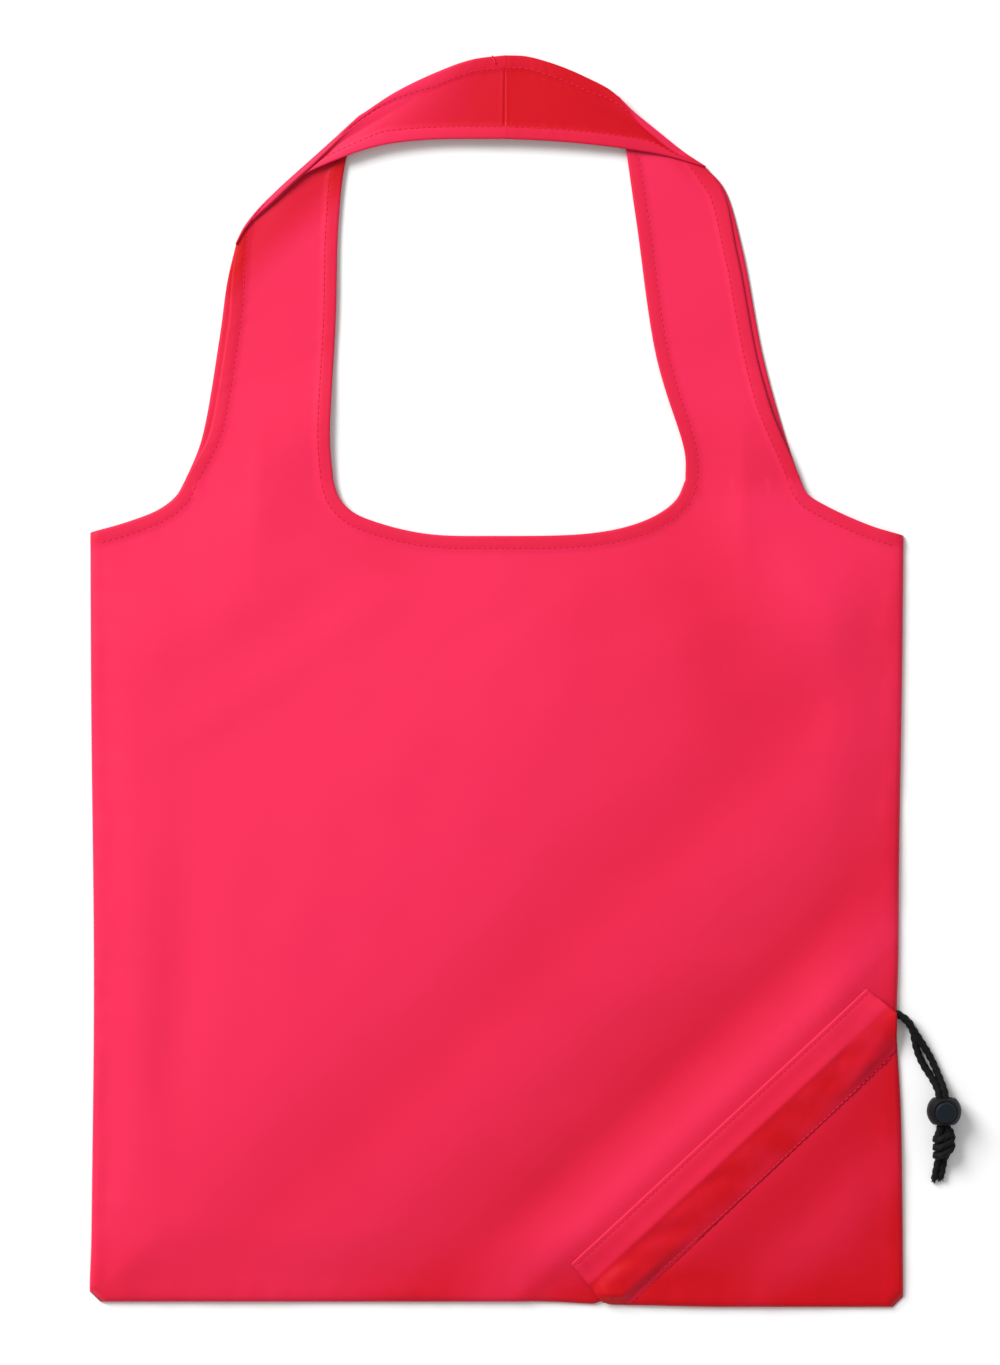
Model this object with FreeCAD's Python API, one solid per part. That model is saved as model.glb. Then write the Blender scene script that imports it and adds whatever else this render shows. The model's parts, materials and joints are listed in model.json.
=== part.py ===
"""Foldable tote bag, lying flat on its back. Millimetres, +X right, +Y towards the handles, +Z up."""

import math
import os

import FreeCAD
import Part

V = FreeCAD.Vector

# Driving dimensions
BODY_WIDTH = 400.0
OVERALL_HEIGHT = 615.0
CLOTH = 0.4                 # one layer of cloth, drawn thicker than the real 0.12 mm
PUFF = 5.6                  # clear height between the back cloth's underside and the front cloth
HINGE_Y = 98.4              # where the handles leave the body
HINGE_GAP = 0.4
CHAMFER = 5.0               # blunted lower corners
FLANGE = 9.0                # flat border of the side and bottom seams
RISE = 8.0                  # width over which the front cloth rises from the border
SEAM_Z = 1.0                # thickness of the allowances turned in at a seam
HEM = 6.0                   # stitch row to cloth edge
THREAD_WIDTH = 0.6
THREAD_HEIGHT = 0.15
SEAM_X = 3.9                # centre seam of both handles
BACK_BAND_Z = 8.0
FRONT_BAND_Z = 7.0
FRONT_INSET = 2.6           # the front handle's folds lie inside the back handle's
CORD = 3.0                  # cord diameter
CORD_FRONT_Z = 7.7          # cord centre in the front casing
CORD_BACK_Z = 2.0           # cord centre in the back casing
LOCK = V(219.4, -211.5, 6.9)
LOCK_RADIUS = 8.5
LOCK_HALF_LENGTH = 6.4      # centre to each flat that the cord passes
LOCK_BORE = 5.2
BUTTON_RADIUS = 5.0
LOCK_FLOOR = 1.2            # bottom of the button's bore
BUTTON_FOOT = 4.6
BUTTON_TOP = 15.6

HALF_W = BODY_WIDTH / 2
HALF_H = OVERALL_HEIGHT / 2
FRONT_Z = PUFF              # underside of the raised front cloth
FRONT_TOP = PUFF + CLOTH
MOUTH_Y = HINGE_Y - HINGE_GAP / 2
ROOT_Y = HINGE_Y + HINGE_GAP / 2

# Outlines, as points that smooth curves pass through (x, y)
LEFT_ARMHOLE = [(-HALF_W, 72.5), (-182, 77.6), (-166, 84), (-157.5, 90.8), (-153.2, MOUTH_Y)]
RIGHT_ARMHOLE = [(149.2, MOUTH_Y), (152.6, 91.6), (162, 85.6), (184, 75.8), (HALF_W, 71)]
NECKLINE = [
    (92.8, MOUTH_Y), (88.6, 89.2), (80, 82), (66, 76), (45, 72), (0, 70.8),
    (-34, 71.8), (-58, 77.2), (-71.5, 83), (-78, 90.2), (-80.6, MOUTH_Y),
]
LEFT_OUTER = [(-153.2, ROOT_Y), (-145.4, 118), (-136.3, 169.7), (-129.6, 213), (-119.5, 229), (-107.5, 241.5)]
LEFT_INNER = [(-67.4, 277.5), (-75, 256), (-78.9, 226), (-80.2, 180), (-82.7, 123), (-80.6, ROOT_Y)]
LEFT_BAND_TOP = [(-67.4, 277.5), (-50, 288.5), (-30.5, 298), (-12, 304.8), (SEAM_X, 307.1)]
LEFT_BAND_FOOT = [(SEAM_X, 265.7), (-36, 265.2), (-60, 261.8), (-86, 252.6), (-107.5, 241.5)]
RIGHT_OUTER = [(149.2, ROOT_Y), (140.6, 124), (131, 158.6), (120.8, 211.5), (112, 242), (102.8, 253.9)]
RIGHT_INNER = [(60, 288.3), (64.3, 260.5), (69.6, 226), (79, 161.5), (92.6, 112), (92.8, ROOT_Y)]
RIGHT_BAND_TOP = [(60, 288.3), (49, 295.8), (30, 302.4), (15, 306.9), (SEAM_X, 307.1)]
RIGHT_BAND_FOOT = [(SEAM_X, 265.7), (30, 264.4), (63, 261), (86, 257.4), (102.8, 253.9)]

# Drawcord casing across the lower right corner: u runs down its upper edge, n across it
CASING_ORIGIN = V(181.5, -151.5, 0)
CASING_U = V(-0.732, -0.681, 0)
CASING_N = V(0.681, -0.732, 0)
CASING_OUTLINE = [
    (181.5, -151.5), (196.3, -163.3), (196.3, -182.5), (66.4, -306.5), (52.2, -306.0), (36.3, -286.7),
]

# Routes of the cord, point by point
TAIL_A = [
    (197.5, -164.4, 5.2), (202.3, -166.2, 5.1), (206.2, -170.8, 4.9), (209.0, -176.9, 3.9),
    (211.6, -183.2, 2.4), (215.2, -190.2, 1.8), (218.9, -196.7, 4.0), (221.15, -204.0, 7.2),
    (221.15, -218.6, 7.1), (221.0, -225.6, 6.2),
]
TAIL_B = [
    (197.5, -164.4, 2.0), (202.2, -166.2, 1.95), (204.4, -171.0, 1.65), (205.6, -177.2, 1.6),
    (206.8, -183.8, 1.6), (209.2, -190.6, 1.75), (213.6, -197.0, 4.0), (217.65, -204.0, 7.2),
    (217.65, -218.6, 7.1), (217.7, -225.6, 6.2),
]
END_LEFT = [(217.9, -231.4, 4.2), (216.6, -238.0, 2.2), (213.9, -246.8, 1.6)]
END_RIGHT = [(220.6, -231.6, 4.4), (220.2, -238.2, 2.2), (218.4, -245.6, 1.6)]
HIDDEN_FRONT = [
    (6.5, 16.6), (14, 18.8), (34, 21.2), (66, 20.6), (104, 23.4), (140, 23.8), (166, 26.2), (180, 26.4),
]
HIDDEN_END_U = 189.5        # where the hidden cord turns over the bottom seam
KNOT = V(219.2, -227.3, 5.75)
KNOT_AXES = (5.6, 7.4, 5.5)

def smooth(points, z=0.0):
    """One smooth edge through the points."""
    curve = Part.BSplineCurve()
    curve.interpolate([V(x, y, z) for x, y in points])
    return curve.toShape()


def straight(a, b, z=0.0):
    return Part.makeLine(V(a[0], a[1], z), V(b[0], b[1], z))


def plate(edges, z, thickness):
    """Closed outline raised to z and thickened upwards."""
    face = Part.Face(Part.Wire(Part.__sortEdges__(edges)))
    face.translate(V(0, 0, z))
    return face.extrude(V(0, 0, thickness))


def polygon(points, z, thickness):
    wire = Part.makePolygon([V(x, y, z) for x, y in [*points, points[0]]])
    return Part.Face(wire).extrude(V(0, 0, thickness))


def box(x0, x1, y0, y1, z0, z1):
    return Part.makeBox(x1 - x0, y1 - y0, z1 - z0, V(x0, y0, z0))


def one(shape):
    """The shape as a clean single solid."""
    shape = shape.removeSplitter()
    return shape.Solids[0] if len(shape.Solids) == 1 else shape


def save(name, shape):
    if not shape.isValid():
        raise ValueError(name + " isn't valid")
    shape.exportStep("parts/" + name + ".step")
    print(name, len(shape.Solids), "solids", round(shape.Volume, 2), "mm3")


def casing_point(u, n, z):
    return CASING_ORIGIN + CASING_U * u + CASING_N * n + V(0, 0, z)


def tube(name, points, diameter=CORD):
    """Straight runs joined by tangent arcs, each as large as its two runs allow."""
    p = [V(*q) for q in points]
    edges = []
    found = []
    start = p[0]
    for before, corner, after in zip(p, p[1:], p[2:]):
        back = (before - corner).normalize()
        ahead = (after - corner).normalize()
        half_turn = (math.pi - back.getAngle(ahead)) / 2
        run = min(before.distanceToPoint(corner), corner.distanceToPoint(after))
        radius = 0.45 * run / math.tan(half_turn)
        found.append(round(radius, 1))
        a = corner + back * (0.45 * run)
        b = corner + ahead * (0.45 * run)
        inward = (back + ahead).normalize()
        middle = corner + inward * (radius / math.cos(half_turn) - radius)
        edges.append(Part.LineSegment(start, a).toShape())
        edges.append(Part.Arc(a, middle, b).toShape())
        start = b
    edges.append(Part.LineSegment(start, p[-1]).toShape())
    path = Part.Wire(edges)
    section = Part.Wire(Part.Circle(p[0], p[1] - p[0], diameter / 2).toShape())
    solid = path.makePipeShell([section], True, False)
    expected = math.pi * diameter ** 2 / 4 * path.Length
    print(name, "length", round(path.Length, 1), "volume ratio", round(solid.Volume / expected, 4), "radii", found)
    return solid


# Body outline

def body_outline():
    low = -HALF_H
    return [
        smooth(LEFT_ARMHOLE),
        straight(LEFT_ARMHOLE[-1], NECKLINE[-1]),
        smooth(NECKLINE),
        straight(NECKLINE[0], RIGHT_ARMHOLE[0]),
        smooth(RIGHT_ARMHOLE),
        straight(RIGHT_ARMHOLE[-1], (HALF_W, low + CHAMFER)),
        straight((HALF_W, low + CHAMFER), (HALF_W - CHAMFER, low)),
        straight((HALF_W - CHAMFER, low), (CHAMFER - HALF_W, low)),
        straight((CHAMFER - HALF_W, low), (-HALF_W, low + CHAMFER)),
        straight((-HALF_W, low + CHAMFER), LEFT_ARMHOLE[0]),
    ]


def frustum(inset_low, z_low, inset_high, z_high):
    """Block that narrows towards the top at its left, right and lower sides."""
    wires = []
    for inset, z in ((inset_low, z_low), (inset_high, z_high)):
        x = HALF_W - inset
        y = inset - HALF_H
        corners = [V(-x, y, z), V(x, y, z), V(x, 150, z), V(-x, 150, z)]
        wires.append(Part.makePolygon([*corners, corners[0]]))
    return Part.makeLoft(wires, True, True)


def front_block():
    """Everything under the front cloth's upper face, down to the seam."""
    border = box(-HALF_W, HALF_W, -HALF_H, 150, CLOTH + SEAM_Z, SEAM_Z + 2 * CLOTH)
    return border.fuse(frustum(FLANGE, SEAM_Z + 2 * CLOTH, FLANGE + RISE, FRONT_TOP))


def side_gap(z0, z1):
    """Gap in the right side seam, where both strands leave."""
    return box(181.5, HALF_W + 1, -173.0, -157.0, z0, z1)


def bottom_gap(z0, z1):
    """Slot in the bottom seam, along the casing, where the cord turns to the back."""
    half = 3.2
    low = casing_point(168, 26.4 - half, z0)
    slot = Part.makePolygon([
        low, casing_point(200, 26.4 - half, z0), casing_point(200, 26.4 + half, z0),
        casing_point(168, 26.4 + half, z0), low,
    ])
    return Part.Face(slot).extrude(V(0, 0, z1 - z0))


def front_panel():
    hollow = frustum(FLANGE + 0.5, CLOTH + SEAM_Z, FLANGE + RISE + 0.3, FRONT_Z)
    sheet = front_block().cut(hollow).common(plate(body_outline(), 0, 20))
    return one(sheet.cut(side_gap(1, 7)).cut(bottom_gap(1, 7)))


def back_panel():
    return one(plate(body_outline(), 0, CLOTH))


def seams():
    edge = 1.0
    inner = FLANGE - 1.0
    low = -HALF_H
    z0, z1 = CLOTH, CLOTH + SEAM_Z
    left = box(edge - HALF_W, inner - HALF_W, low + FLANGE, 70, z0, z1)
    right = box(HALF_W - inner, HALF_W - edge, low + FLANGE, 70, z0, z1)
    bottom = box(FLANGE - HALF_W, HALF_W - FLANGE, low + edge, low + inner, z0, z1)
    save("left_side_seam", one(left))
    save("right_side_seam", right.cut(side_gap(0, 7)))
    save("bottom_seam", bottom.cut(bottom_gap(0, 7)))


# Drawcord casings

def hat(profile, u0, u1):
    """Cross-section (n, z) swept along the casing."""
    wire = Part.makePolygon([casing_point(u0, n, z) for n, z in [*profile, profile[0]]])
    return Part.Face(wire).extrude(CASING_U * (u1 - u0))


def casing_profile(base, crown, flat, foot, width):
    """Flat on the panel, raised over the cord between flat and foot."""
    slope = 2.6
    t = CLOTH
    return [
        (0, base), (flat, base), (flat + slope, crown - t), (foot - slope, crown - t), (foot, base),
        (width, base), (width, base + t), (foot + 0.2, base + t), (foot - slope + 0.2, crown),
        (flat + slope - 0.2, crown), (flat - 0.2, base + t), (0, base + t),
    ]


def front_channel():
    strip = hat(casing_profile(FRONT_TOP, FRONT_TOP + 3.6, 13.5, 31.0, 40), -30, 230)
    return one(strip.common(polygon(CASING_OUTLINE, 0, 20)))


def back_channel():
    strip = hat(casing_profile(CLOTH, 4.1, 13.5, 31.0, 34), -30, 230)
    low = -HALF_H
    room = box(0, HALF_W - FLANGE - RISE - 1, low + FLANGE + RISE + 1, 0, 0, 20)
    return one(strip.common(room))


# Cord

def exit_bend(tail):
    """The point before the exit, in line with the free strand's first run."""
    return tuple(V(*tail[0]) - (V(*tail[1]) - V(*tail[0])).normalize() * 4.4)


def hidden_route():
    """From the exit, down the front casing, over the bottom seam and back up the back casing."""
    front = [tuple(casing_point(u, n, CORD_FRONT_Z)) for u, n in HIDDEN_FRONT]
    back = [tuple(casing_point(u, n, CORD_BACK_Z)) for u, n in HIDDEN_FRONT]
    turn_top = tuple(casing_point(HIDDEN_END_U, 26.9, CORD_FRONT_Z))
    turn_foot = tuple(casing_point(HIDDEN_END_U, 26.9, CORD_BACK_Z))
    start = [TAIL_A[0], exit_bend(TAIL_A)]
    end = [exit_bend(TAIL_B), TAIL_B[0]]
    return [*start, *front, turn_top, turn_foot, *back[::-1], *end]


def knot():
    shape = Part.makeSphere(1.0)
    matrix = FreeCAD.Matrix()
    matrix.scale(*KNOT_AXES)
    shape = shape.transformGeometry(matrix)
    shape.translate(KNOT)
    return shape


# Cord lock

def along_y(width, z0, z1, half_length):
    """Flat-sided hole for the two strands, through the lock along Y."""
    return box(LOCK.x - width / 2, LOCK.x + width / 2, LOCK.y - half_length, LOCK.y + half_length, z0, z1)


def lock_body():
    ball = Part.makeSphere(LOCK_RADIUS, LOCK)
    room = box(
        LOCK.x - 20, LOCK.x + 20, LOCK.y - LOCK_HALF_LENGTH, LOCK.y + LOCK_HALF_LENGTH, 0.05, 13.0,
    )
    bore = Part.makeCylinder(LOCK_BORE, 20, V(LOCK.x, LOCK.y, LOCK_FLOOR))
    hole = along_y(7.8, 5.1, 9.2, 12)
    return one(ball.common(room).cut(bore).cut(hole))


def lock_button():
    height = BUTTON_TOP - BUTTON_FOOT
    pin = Part.makeCylinder(BUTTON_RADIUS, height, V(LOCK.x, LOCK.y, BUTTON_FOOT))
    rim = [e for e in pin.Edges if e.BoundBox.ZMin > BUTTON_TOP - 0.01]
    pin = pin.makeFillet(1.0, rim)
    return one(pin.cut(along_y(7.6, 5.55, 11.4, 12)))


def lock_spring():
    """Compression spring under the button, between the bore's floor and the button's foot."""
    wire, coil, turns, steps = 0.4, 3.4, 3, 8
    foot = LOCK_FLOOR + wire / 2 + 0.05
    height = BUTTON_FOOT - LOCK_FLOOR - wire - 0.1
    points = []
    for i in range(turns * steps + 1):
        angle = 2 * math.pi * i / steps
        rise = foot + height * i / (turns * steps)
        points.append((LOCK.x + coil * math.cos(angle), LOCK.y + coil * math.sin(angle), rise))
    return tube("cord_lock_spring", points, wire)


# Handles

def shifted(points, dx, dy):
    return [(x + dx, y + dy) for x, y in points]


def half_handle(outer, inner, band_top, band_foot, strap_z, band_z, inset, side):
    """One strap with its half of the band, folded over along the line between them.
    side is +1 for the right half, -1 for the left; inset moves the folds in under the outer handle's."""
    dx = -side * inset
    dy = -0.35 * inset
    outer = [outer[0], *shifted(outer[1:], dx, dy)]
    inner = [*shifted(inner[:-1], 0, dy), inner[-1]]
    outer[0] = (outer[0][0] + dx, outer[0][1])
    fold_low, fold_high = outer[-1], (inner[0][0] + dx * 0.6, inner[0][1] + dy)
    inner[0] = fold_high
    top = [fold_high, *shifted(band_top[1:], 0, 2 * dy)]
    foot = [*shifted(band_foot[:-2], 0, -dy), shifted([band_foot[-2]], dx, dy)[0], fold_low]
    seam_top, seam_foot = top[-1], foot[0]
    strap = plate(
        [smooth(outer), straight(fold_low, fold_high), smooth(inner), straight(inner[-1], outer[0])],
        strap_z, CLOTH,
    )
    band = plate(
        [straight(fold_low, fold_high), smooth(top), straight(seam_top, seam_foot), smooth(foot)],
        band_z, CLOTH,
    )
    along = V(fold_high[0] - fold_low[0], fold_high[1] - fold_low[1], 0).normalize()
    into = V(-along.y, along.x, 0) * side
    a, b = V(*fold_low, strap_z), V(*fold_high, strap_z)
    a, b = a + along * 1.5, b - along * 1.5
    wall = Part.Face(Part.makePolygon([a, b, b + into * CLOTH, a + into * CLOTH, a]))
    wall = wall.extrude(V(0, 0, band_z + CLOTH - strap_z))
    return strap.fuse([wall, band]).Solids[0]


def handles():
    left = (LEFT_OUTER, LEFT_INNER, LEFT_BAND_TOP, LEFT_BAND_FOOT)
    right = (RIGHT_OUTER, RIGHT_INNER, RIGHT_BAND_TOP, RIGHT_BAND_FOOT)
    for side_name, side, lines in (("left", -1, left), ("right", 1, right)):
        save("back_handle_" + side_name, half_handle(*lines, 0.0, BACK_BAND_Z, 0.0, side))
        save("front_handle_" + side_name, half_handle(*lines, FRONT_Z, FRONT_BAND_Z, FRONT_INSET, side))
    save("back_handle_seam", box(SEAM_X - 1.5, SEAM_X + 1.5, 266.5, 306, BACK_BAND_Z + CLOTH, BACK_BAND_Z + 0.8))
    save("front_handle_seam", box(SEAM_X - 1.5, SEAM_X + 1.5, 268, 304, FRONT_BAND_Z + CLOTH, FRONT_BAND_Z + 0.8))


# Stitch rows

def row(points, z, side):
    """Thin bead of thread beside a smooth line, HEM away on the given side."""
    line = smooth(points)
    curve = line.Curve
    edges = []
    samples = []
    count = 4 * len(points)
    for offset in (HEM - THREAD_WIDTH / 2, HEM + THREAD_WIDTH / 2):
        moved = []
        for i in range(count + 1):
            t = line.FirstParameter + (line.LastParameter - line.FirstParameter) * i / count
            tangent = curve.tangent(t)[0]
            p = curve.value(t) + V(-tangent.y, tangent.x, 0) * (side * offset)
            moved.append((p.x, p.y))
        samples.append(moved)
        edges.append(smooth(moved))
    edges.append(straight(samples[0][0], samples[1][0]))
    edges.append(straight(samples[0][-1], samples[1][-1]))
    return plate(edges, z, THREAD_HEIGHT)


def stitching():
    rows = {
        "neckline": [(NECKLINE, 1)],
        "armhole": [(LEFT_ARMHOLE[1:], -1), (RIGHT_ARMHOLE[:-1], -1)],
    }
    for name, lines in rows.items():
        back = [row(points, CLOTH, side) for points, side in lines]
        front = [row(points, FRONT_TOP, side) for points, side in lines]
        room = box(FLANGE + RISE + 1 - HALF_W, HALF_W - FLANGE - RISE - 1, -HALF_H, MOUTH_Y, 0, 20)
        save("back_" + name + "_thread", Part.makeCompound([s.common(room) for s in back]))
        save("front_" + name + "_thread", Part.makeCompound([s.common(room) for s in front]))
    low = -HALF_H
    z = SEAM_Z + 2 * CLOTH
    half = THREAD_WIDTH / 2
    left = box(HEM - half - HALF_W, HEM + half - HALF_W, low + HEM + 1, 66, z, z + THREAD_HEIGHT)
    right = box(HALF_W - HEM - half, HALF_W - HEM + half, low + HEM + 1, 66, z, z + THREAD_HEIGHT)
    bottom = box(HEM + 2 - HALF_W, HALF_W - HEM - 2, low + HEM - half, low + HEM + half, z, z + THREAD_HEIGHT)
    right = right.cut(side_gap(0, 7))
    bottom = bottom.cut(bottom_gap(0, 7))
    save("side_seam_thread", Part.makeCompound([left, right]))
    save("bottom_seam_thread", bottom)
    z = FRONT_TOP + CLOTH
    strips = []
    for n in (2.0, 32.6):
        wire = Part.makePolygon([
            casing_point(12, n - half, z), casing_point(176, n - half, z),
            casing_point(176, n + half, z), casing_point(12, n + half, z), casing_point(12, n - half, z),
        ])
        strips.append(Part.Face(wire).extrude(V(0, 0, THREAD_HEIGHT)))
    room = polygon(CASING_OUTLINE, 0, 20)
    save("casing_thread", Part.makeCompound([s.common(room) for s in strips]))
    z = BACK_BAND_Z + CLOTH
    left = [row(LEFT_BAND_TOP, z, -1), row(LEFT_BAND_FOOT, z, -1)]
    right = [row(RIGHT_BAND_TOP, z, 1), row(RIGHT_BAND_FOOT, z, 1)]
    band = plate(
        [smooth(LEFT_BAND_TOP), smooth(RIGHT_BAND_TOP), smooth(LEFT_BAND_FOOT), smooth(RIGHT_BAND_FOOT),
         straight(LEFT_BAND_FOOT[-1], LEFT_BAND_TOP[0]), straight(RIGHT_BAND_FOOT[-1], RIGHT_BAND_TOP[0])],
        0, 20,
    )
    seam = box(SEAM_X - 2.2, SEAM_X + 2.2, 200, 320, 0, 20)
    save("handle_thread", Part.makeCompound([s.common(band).cut(seam) for s in [*left, *right]]))


def main():
    os.makedirs("parts", exist_ok=True)
    save("front_panel", front_panel())
    save("back_panel", back_panel())
    seams()
    save("front_channel", front_channel())
    save("back_channel", back_channel())
    save("drawcord_hidden_loop", tube("drawcord_hidden_loop", hidden_route()))
    save("drawcord_tail_a", tube("drawcord_tail_a", TAIL_A))
    save("drawcord_tail_b", tube("drawcord_tail_b", TAIL_B))
    save("drawcord_knot", knot())
    ends = [tube("end_left", END_LEFT), tube("end_right", END_RIGHT)]
    save("drawcord_ends", Part.makeCompound(ends))
    save("cord_lock_body", lock_body())
    save("cord_lock_button", lock_button())
    save("cord_lock_spring", lock_spring())
    handles()
    stitching()


main()
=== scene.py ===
"""Foldable tote bag lying flat on its back, seen from straight above.

Metres in Blender. The outlines below are in millimetres, in the frame of the CAD model:
+X right, +Y towards the handles, +Z up, with the bag's centre over the origin.
"""

import json
import math
import random

import bmesh
import bpy
import numpy as np
from mathutils import Vector
from mathutils.geometry import delaunay_2d_cdt
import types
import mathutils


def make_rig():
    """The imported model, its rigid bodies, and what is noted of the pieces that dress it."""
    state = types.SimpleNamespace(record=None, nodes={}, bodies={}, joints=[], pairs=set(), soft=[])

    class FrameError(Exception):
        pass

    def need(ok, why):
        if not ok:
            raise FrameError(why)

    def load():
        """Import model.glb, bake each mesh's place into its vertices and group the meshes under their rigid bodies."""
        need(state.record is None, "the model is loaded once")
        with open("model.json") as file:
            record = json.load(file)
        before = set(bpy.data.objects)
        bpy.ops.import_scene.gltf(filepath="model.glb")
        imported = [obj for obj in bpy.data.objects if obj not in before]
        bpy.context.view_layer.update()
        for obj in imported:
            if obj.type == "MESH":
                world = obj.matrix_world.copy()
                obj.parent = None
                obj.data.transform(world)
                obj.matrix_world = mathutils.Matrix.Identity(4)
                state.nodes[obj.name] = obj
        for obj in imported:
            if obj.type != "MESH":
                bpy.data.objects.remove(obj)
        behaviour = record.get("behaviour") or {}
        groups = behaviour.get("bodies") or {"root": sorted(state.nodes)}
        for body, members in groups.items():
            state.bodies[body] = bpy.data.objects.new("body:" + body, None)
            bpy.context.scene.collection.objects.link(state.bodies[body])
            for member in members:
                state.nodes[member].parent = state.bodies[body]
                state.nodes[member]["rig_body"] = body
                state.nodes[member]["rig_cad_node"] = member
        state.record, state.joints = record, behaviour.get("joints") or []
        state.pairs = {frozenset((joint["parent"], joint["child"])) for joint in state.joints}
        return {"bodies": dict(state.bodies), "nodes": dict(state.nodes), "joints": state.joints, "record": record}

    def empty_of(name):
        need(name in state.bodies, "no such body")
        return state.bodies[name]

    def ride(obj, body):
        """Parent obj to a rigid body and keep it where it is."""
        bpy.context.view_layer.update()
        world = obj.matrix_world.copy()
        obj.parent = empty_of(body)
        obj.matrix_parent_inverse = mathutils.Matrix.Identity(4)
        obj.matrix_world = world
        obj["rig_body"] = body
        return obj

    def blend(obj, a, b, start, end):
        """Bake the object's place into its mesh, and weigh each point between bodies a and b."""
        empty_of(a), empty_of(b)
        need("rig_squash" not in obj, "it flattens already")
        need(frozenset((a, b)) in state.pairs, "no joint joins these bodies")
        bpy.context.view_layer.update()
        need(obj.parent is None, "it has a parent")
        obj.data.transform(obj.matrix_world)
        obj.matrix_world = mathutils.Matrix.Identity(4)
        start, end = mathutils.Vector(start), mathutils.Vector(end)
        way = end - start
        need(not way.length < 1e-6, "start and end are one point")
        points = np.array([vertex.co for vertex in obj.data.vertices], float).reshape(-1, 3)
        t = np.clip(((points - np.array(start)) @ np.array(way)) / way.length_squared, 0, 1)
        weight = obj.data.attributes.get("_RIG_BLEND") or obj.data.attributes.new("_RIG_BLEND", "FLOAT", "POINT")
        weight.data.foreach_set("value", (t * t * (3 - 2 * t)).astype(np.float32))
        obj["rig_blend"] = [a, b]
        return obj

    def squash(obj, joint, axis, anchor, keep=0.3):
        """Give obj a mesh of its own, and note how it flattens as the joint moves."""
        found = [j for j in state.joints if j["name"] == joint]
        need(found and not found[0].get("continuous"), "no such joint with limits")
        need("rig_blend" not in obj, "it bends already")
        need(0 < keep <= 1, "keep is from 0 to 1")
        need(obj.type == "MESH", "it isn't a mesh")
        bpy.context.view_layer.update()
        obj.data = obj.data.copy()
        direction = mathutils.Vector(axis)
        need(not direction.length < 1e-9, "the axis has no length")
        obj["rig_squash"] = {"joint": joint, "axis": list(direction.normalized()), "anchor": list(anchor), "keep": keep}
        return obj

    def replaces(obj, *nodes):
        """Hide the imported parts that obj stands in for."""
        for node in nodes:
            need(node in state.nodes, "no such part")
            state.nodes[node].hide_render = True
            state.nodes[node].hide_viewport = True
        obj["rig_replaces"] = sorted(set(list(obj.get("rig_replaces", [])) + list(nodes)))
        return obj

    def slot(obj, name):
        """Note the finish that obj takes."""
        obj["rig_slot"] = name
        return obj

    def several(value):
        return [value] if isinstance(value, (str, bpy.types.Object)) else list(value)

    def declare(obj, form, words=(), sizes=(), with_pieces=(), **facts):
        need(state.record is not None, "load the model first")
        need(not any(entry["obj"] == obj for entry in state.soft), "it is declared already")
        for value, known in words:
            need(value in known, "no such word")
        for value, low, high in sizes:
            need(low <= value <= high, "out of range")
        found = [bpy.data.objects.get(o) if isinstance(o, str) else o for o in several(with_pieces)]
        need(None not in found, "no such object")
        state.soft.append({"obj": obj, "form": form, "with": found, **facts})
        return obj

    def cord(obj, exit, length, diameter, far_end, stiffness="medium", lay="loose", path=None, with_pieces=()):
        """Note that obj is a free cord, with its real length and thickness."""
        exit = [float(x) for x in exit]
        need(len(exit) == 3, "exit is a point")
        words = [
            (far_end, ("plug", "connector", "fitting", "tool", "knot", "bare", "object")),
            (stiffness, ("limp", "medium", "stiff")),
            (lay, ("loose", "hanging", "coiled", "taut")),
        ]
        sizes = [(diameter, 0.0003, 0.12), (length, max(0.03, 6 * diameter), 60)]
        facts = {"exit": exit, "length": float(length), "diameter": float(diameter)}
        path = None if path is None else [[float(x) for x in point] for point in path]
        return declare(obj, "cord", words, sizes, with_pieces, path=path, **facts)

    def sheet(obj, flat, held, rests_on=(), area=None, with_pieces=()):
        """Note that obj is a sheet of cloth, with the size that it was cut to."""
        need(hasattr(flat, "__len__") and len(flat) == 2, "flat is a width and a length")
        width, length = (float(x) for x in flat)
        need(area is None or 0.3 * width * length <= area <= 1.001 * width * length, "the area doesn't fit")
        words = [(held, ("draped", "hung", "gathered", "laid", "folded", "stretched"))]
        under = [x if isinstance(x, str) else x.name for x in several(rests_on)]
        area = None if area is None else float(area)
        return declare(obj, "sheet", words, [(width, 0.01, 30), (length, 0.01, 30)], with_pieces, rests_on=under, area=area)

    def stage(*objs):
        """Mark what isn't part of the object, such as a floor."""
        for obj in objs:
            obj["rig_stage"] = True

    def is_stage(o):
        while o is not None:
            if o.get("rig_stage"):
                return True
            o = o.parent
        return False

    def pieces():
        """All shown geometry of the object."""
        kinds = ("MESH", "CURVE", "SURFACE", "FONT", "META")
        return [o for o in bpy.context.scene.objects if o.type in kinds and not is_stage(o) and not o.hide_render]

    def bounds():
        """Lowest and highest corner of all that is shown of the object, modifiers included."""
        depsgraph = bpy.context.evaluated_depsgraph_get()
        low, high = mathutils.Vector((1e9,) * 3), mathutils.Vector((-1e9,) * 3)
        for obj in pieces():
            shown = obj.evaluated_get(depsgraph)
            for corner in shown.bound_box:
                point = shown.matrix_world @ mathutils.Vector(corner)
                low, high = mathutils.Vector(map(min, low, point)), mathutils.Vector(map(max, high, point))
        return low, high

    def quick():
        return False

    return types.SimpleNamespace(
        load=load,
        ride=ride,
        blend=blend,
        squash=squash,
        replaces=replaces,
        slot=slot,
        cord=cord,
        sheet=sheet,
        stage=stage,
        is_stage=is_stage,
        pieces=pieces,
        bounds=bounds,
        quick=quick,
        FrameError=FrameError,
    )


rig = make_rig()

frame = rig.load()
cad_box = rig.bounds()

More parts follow.
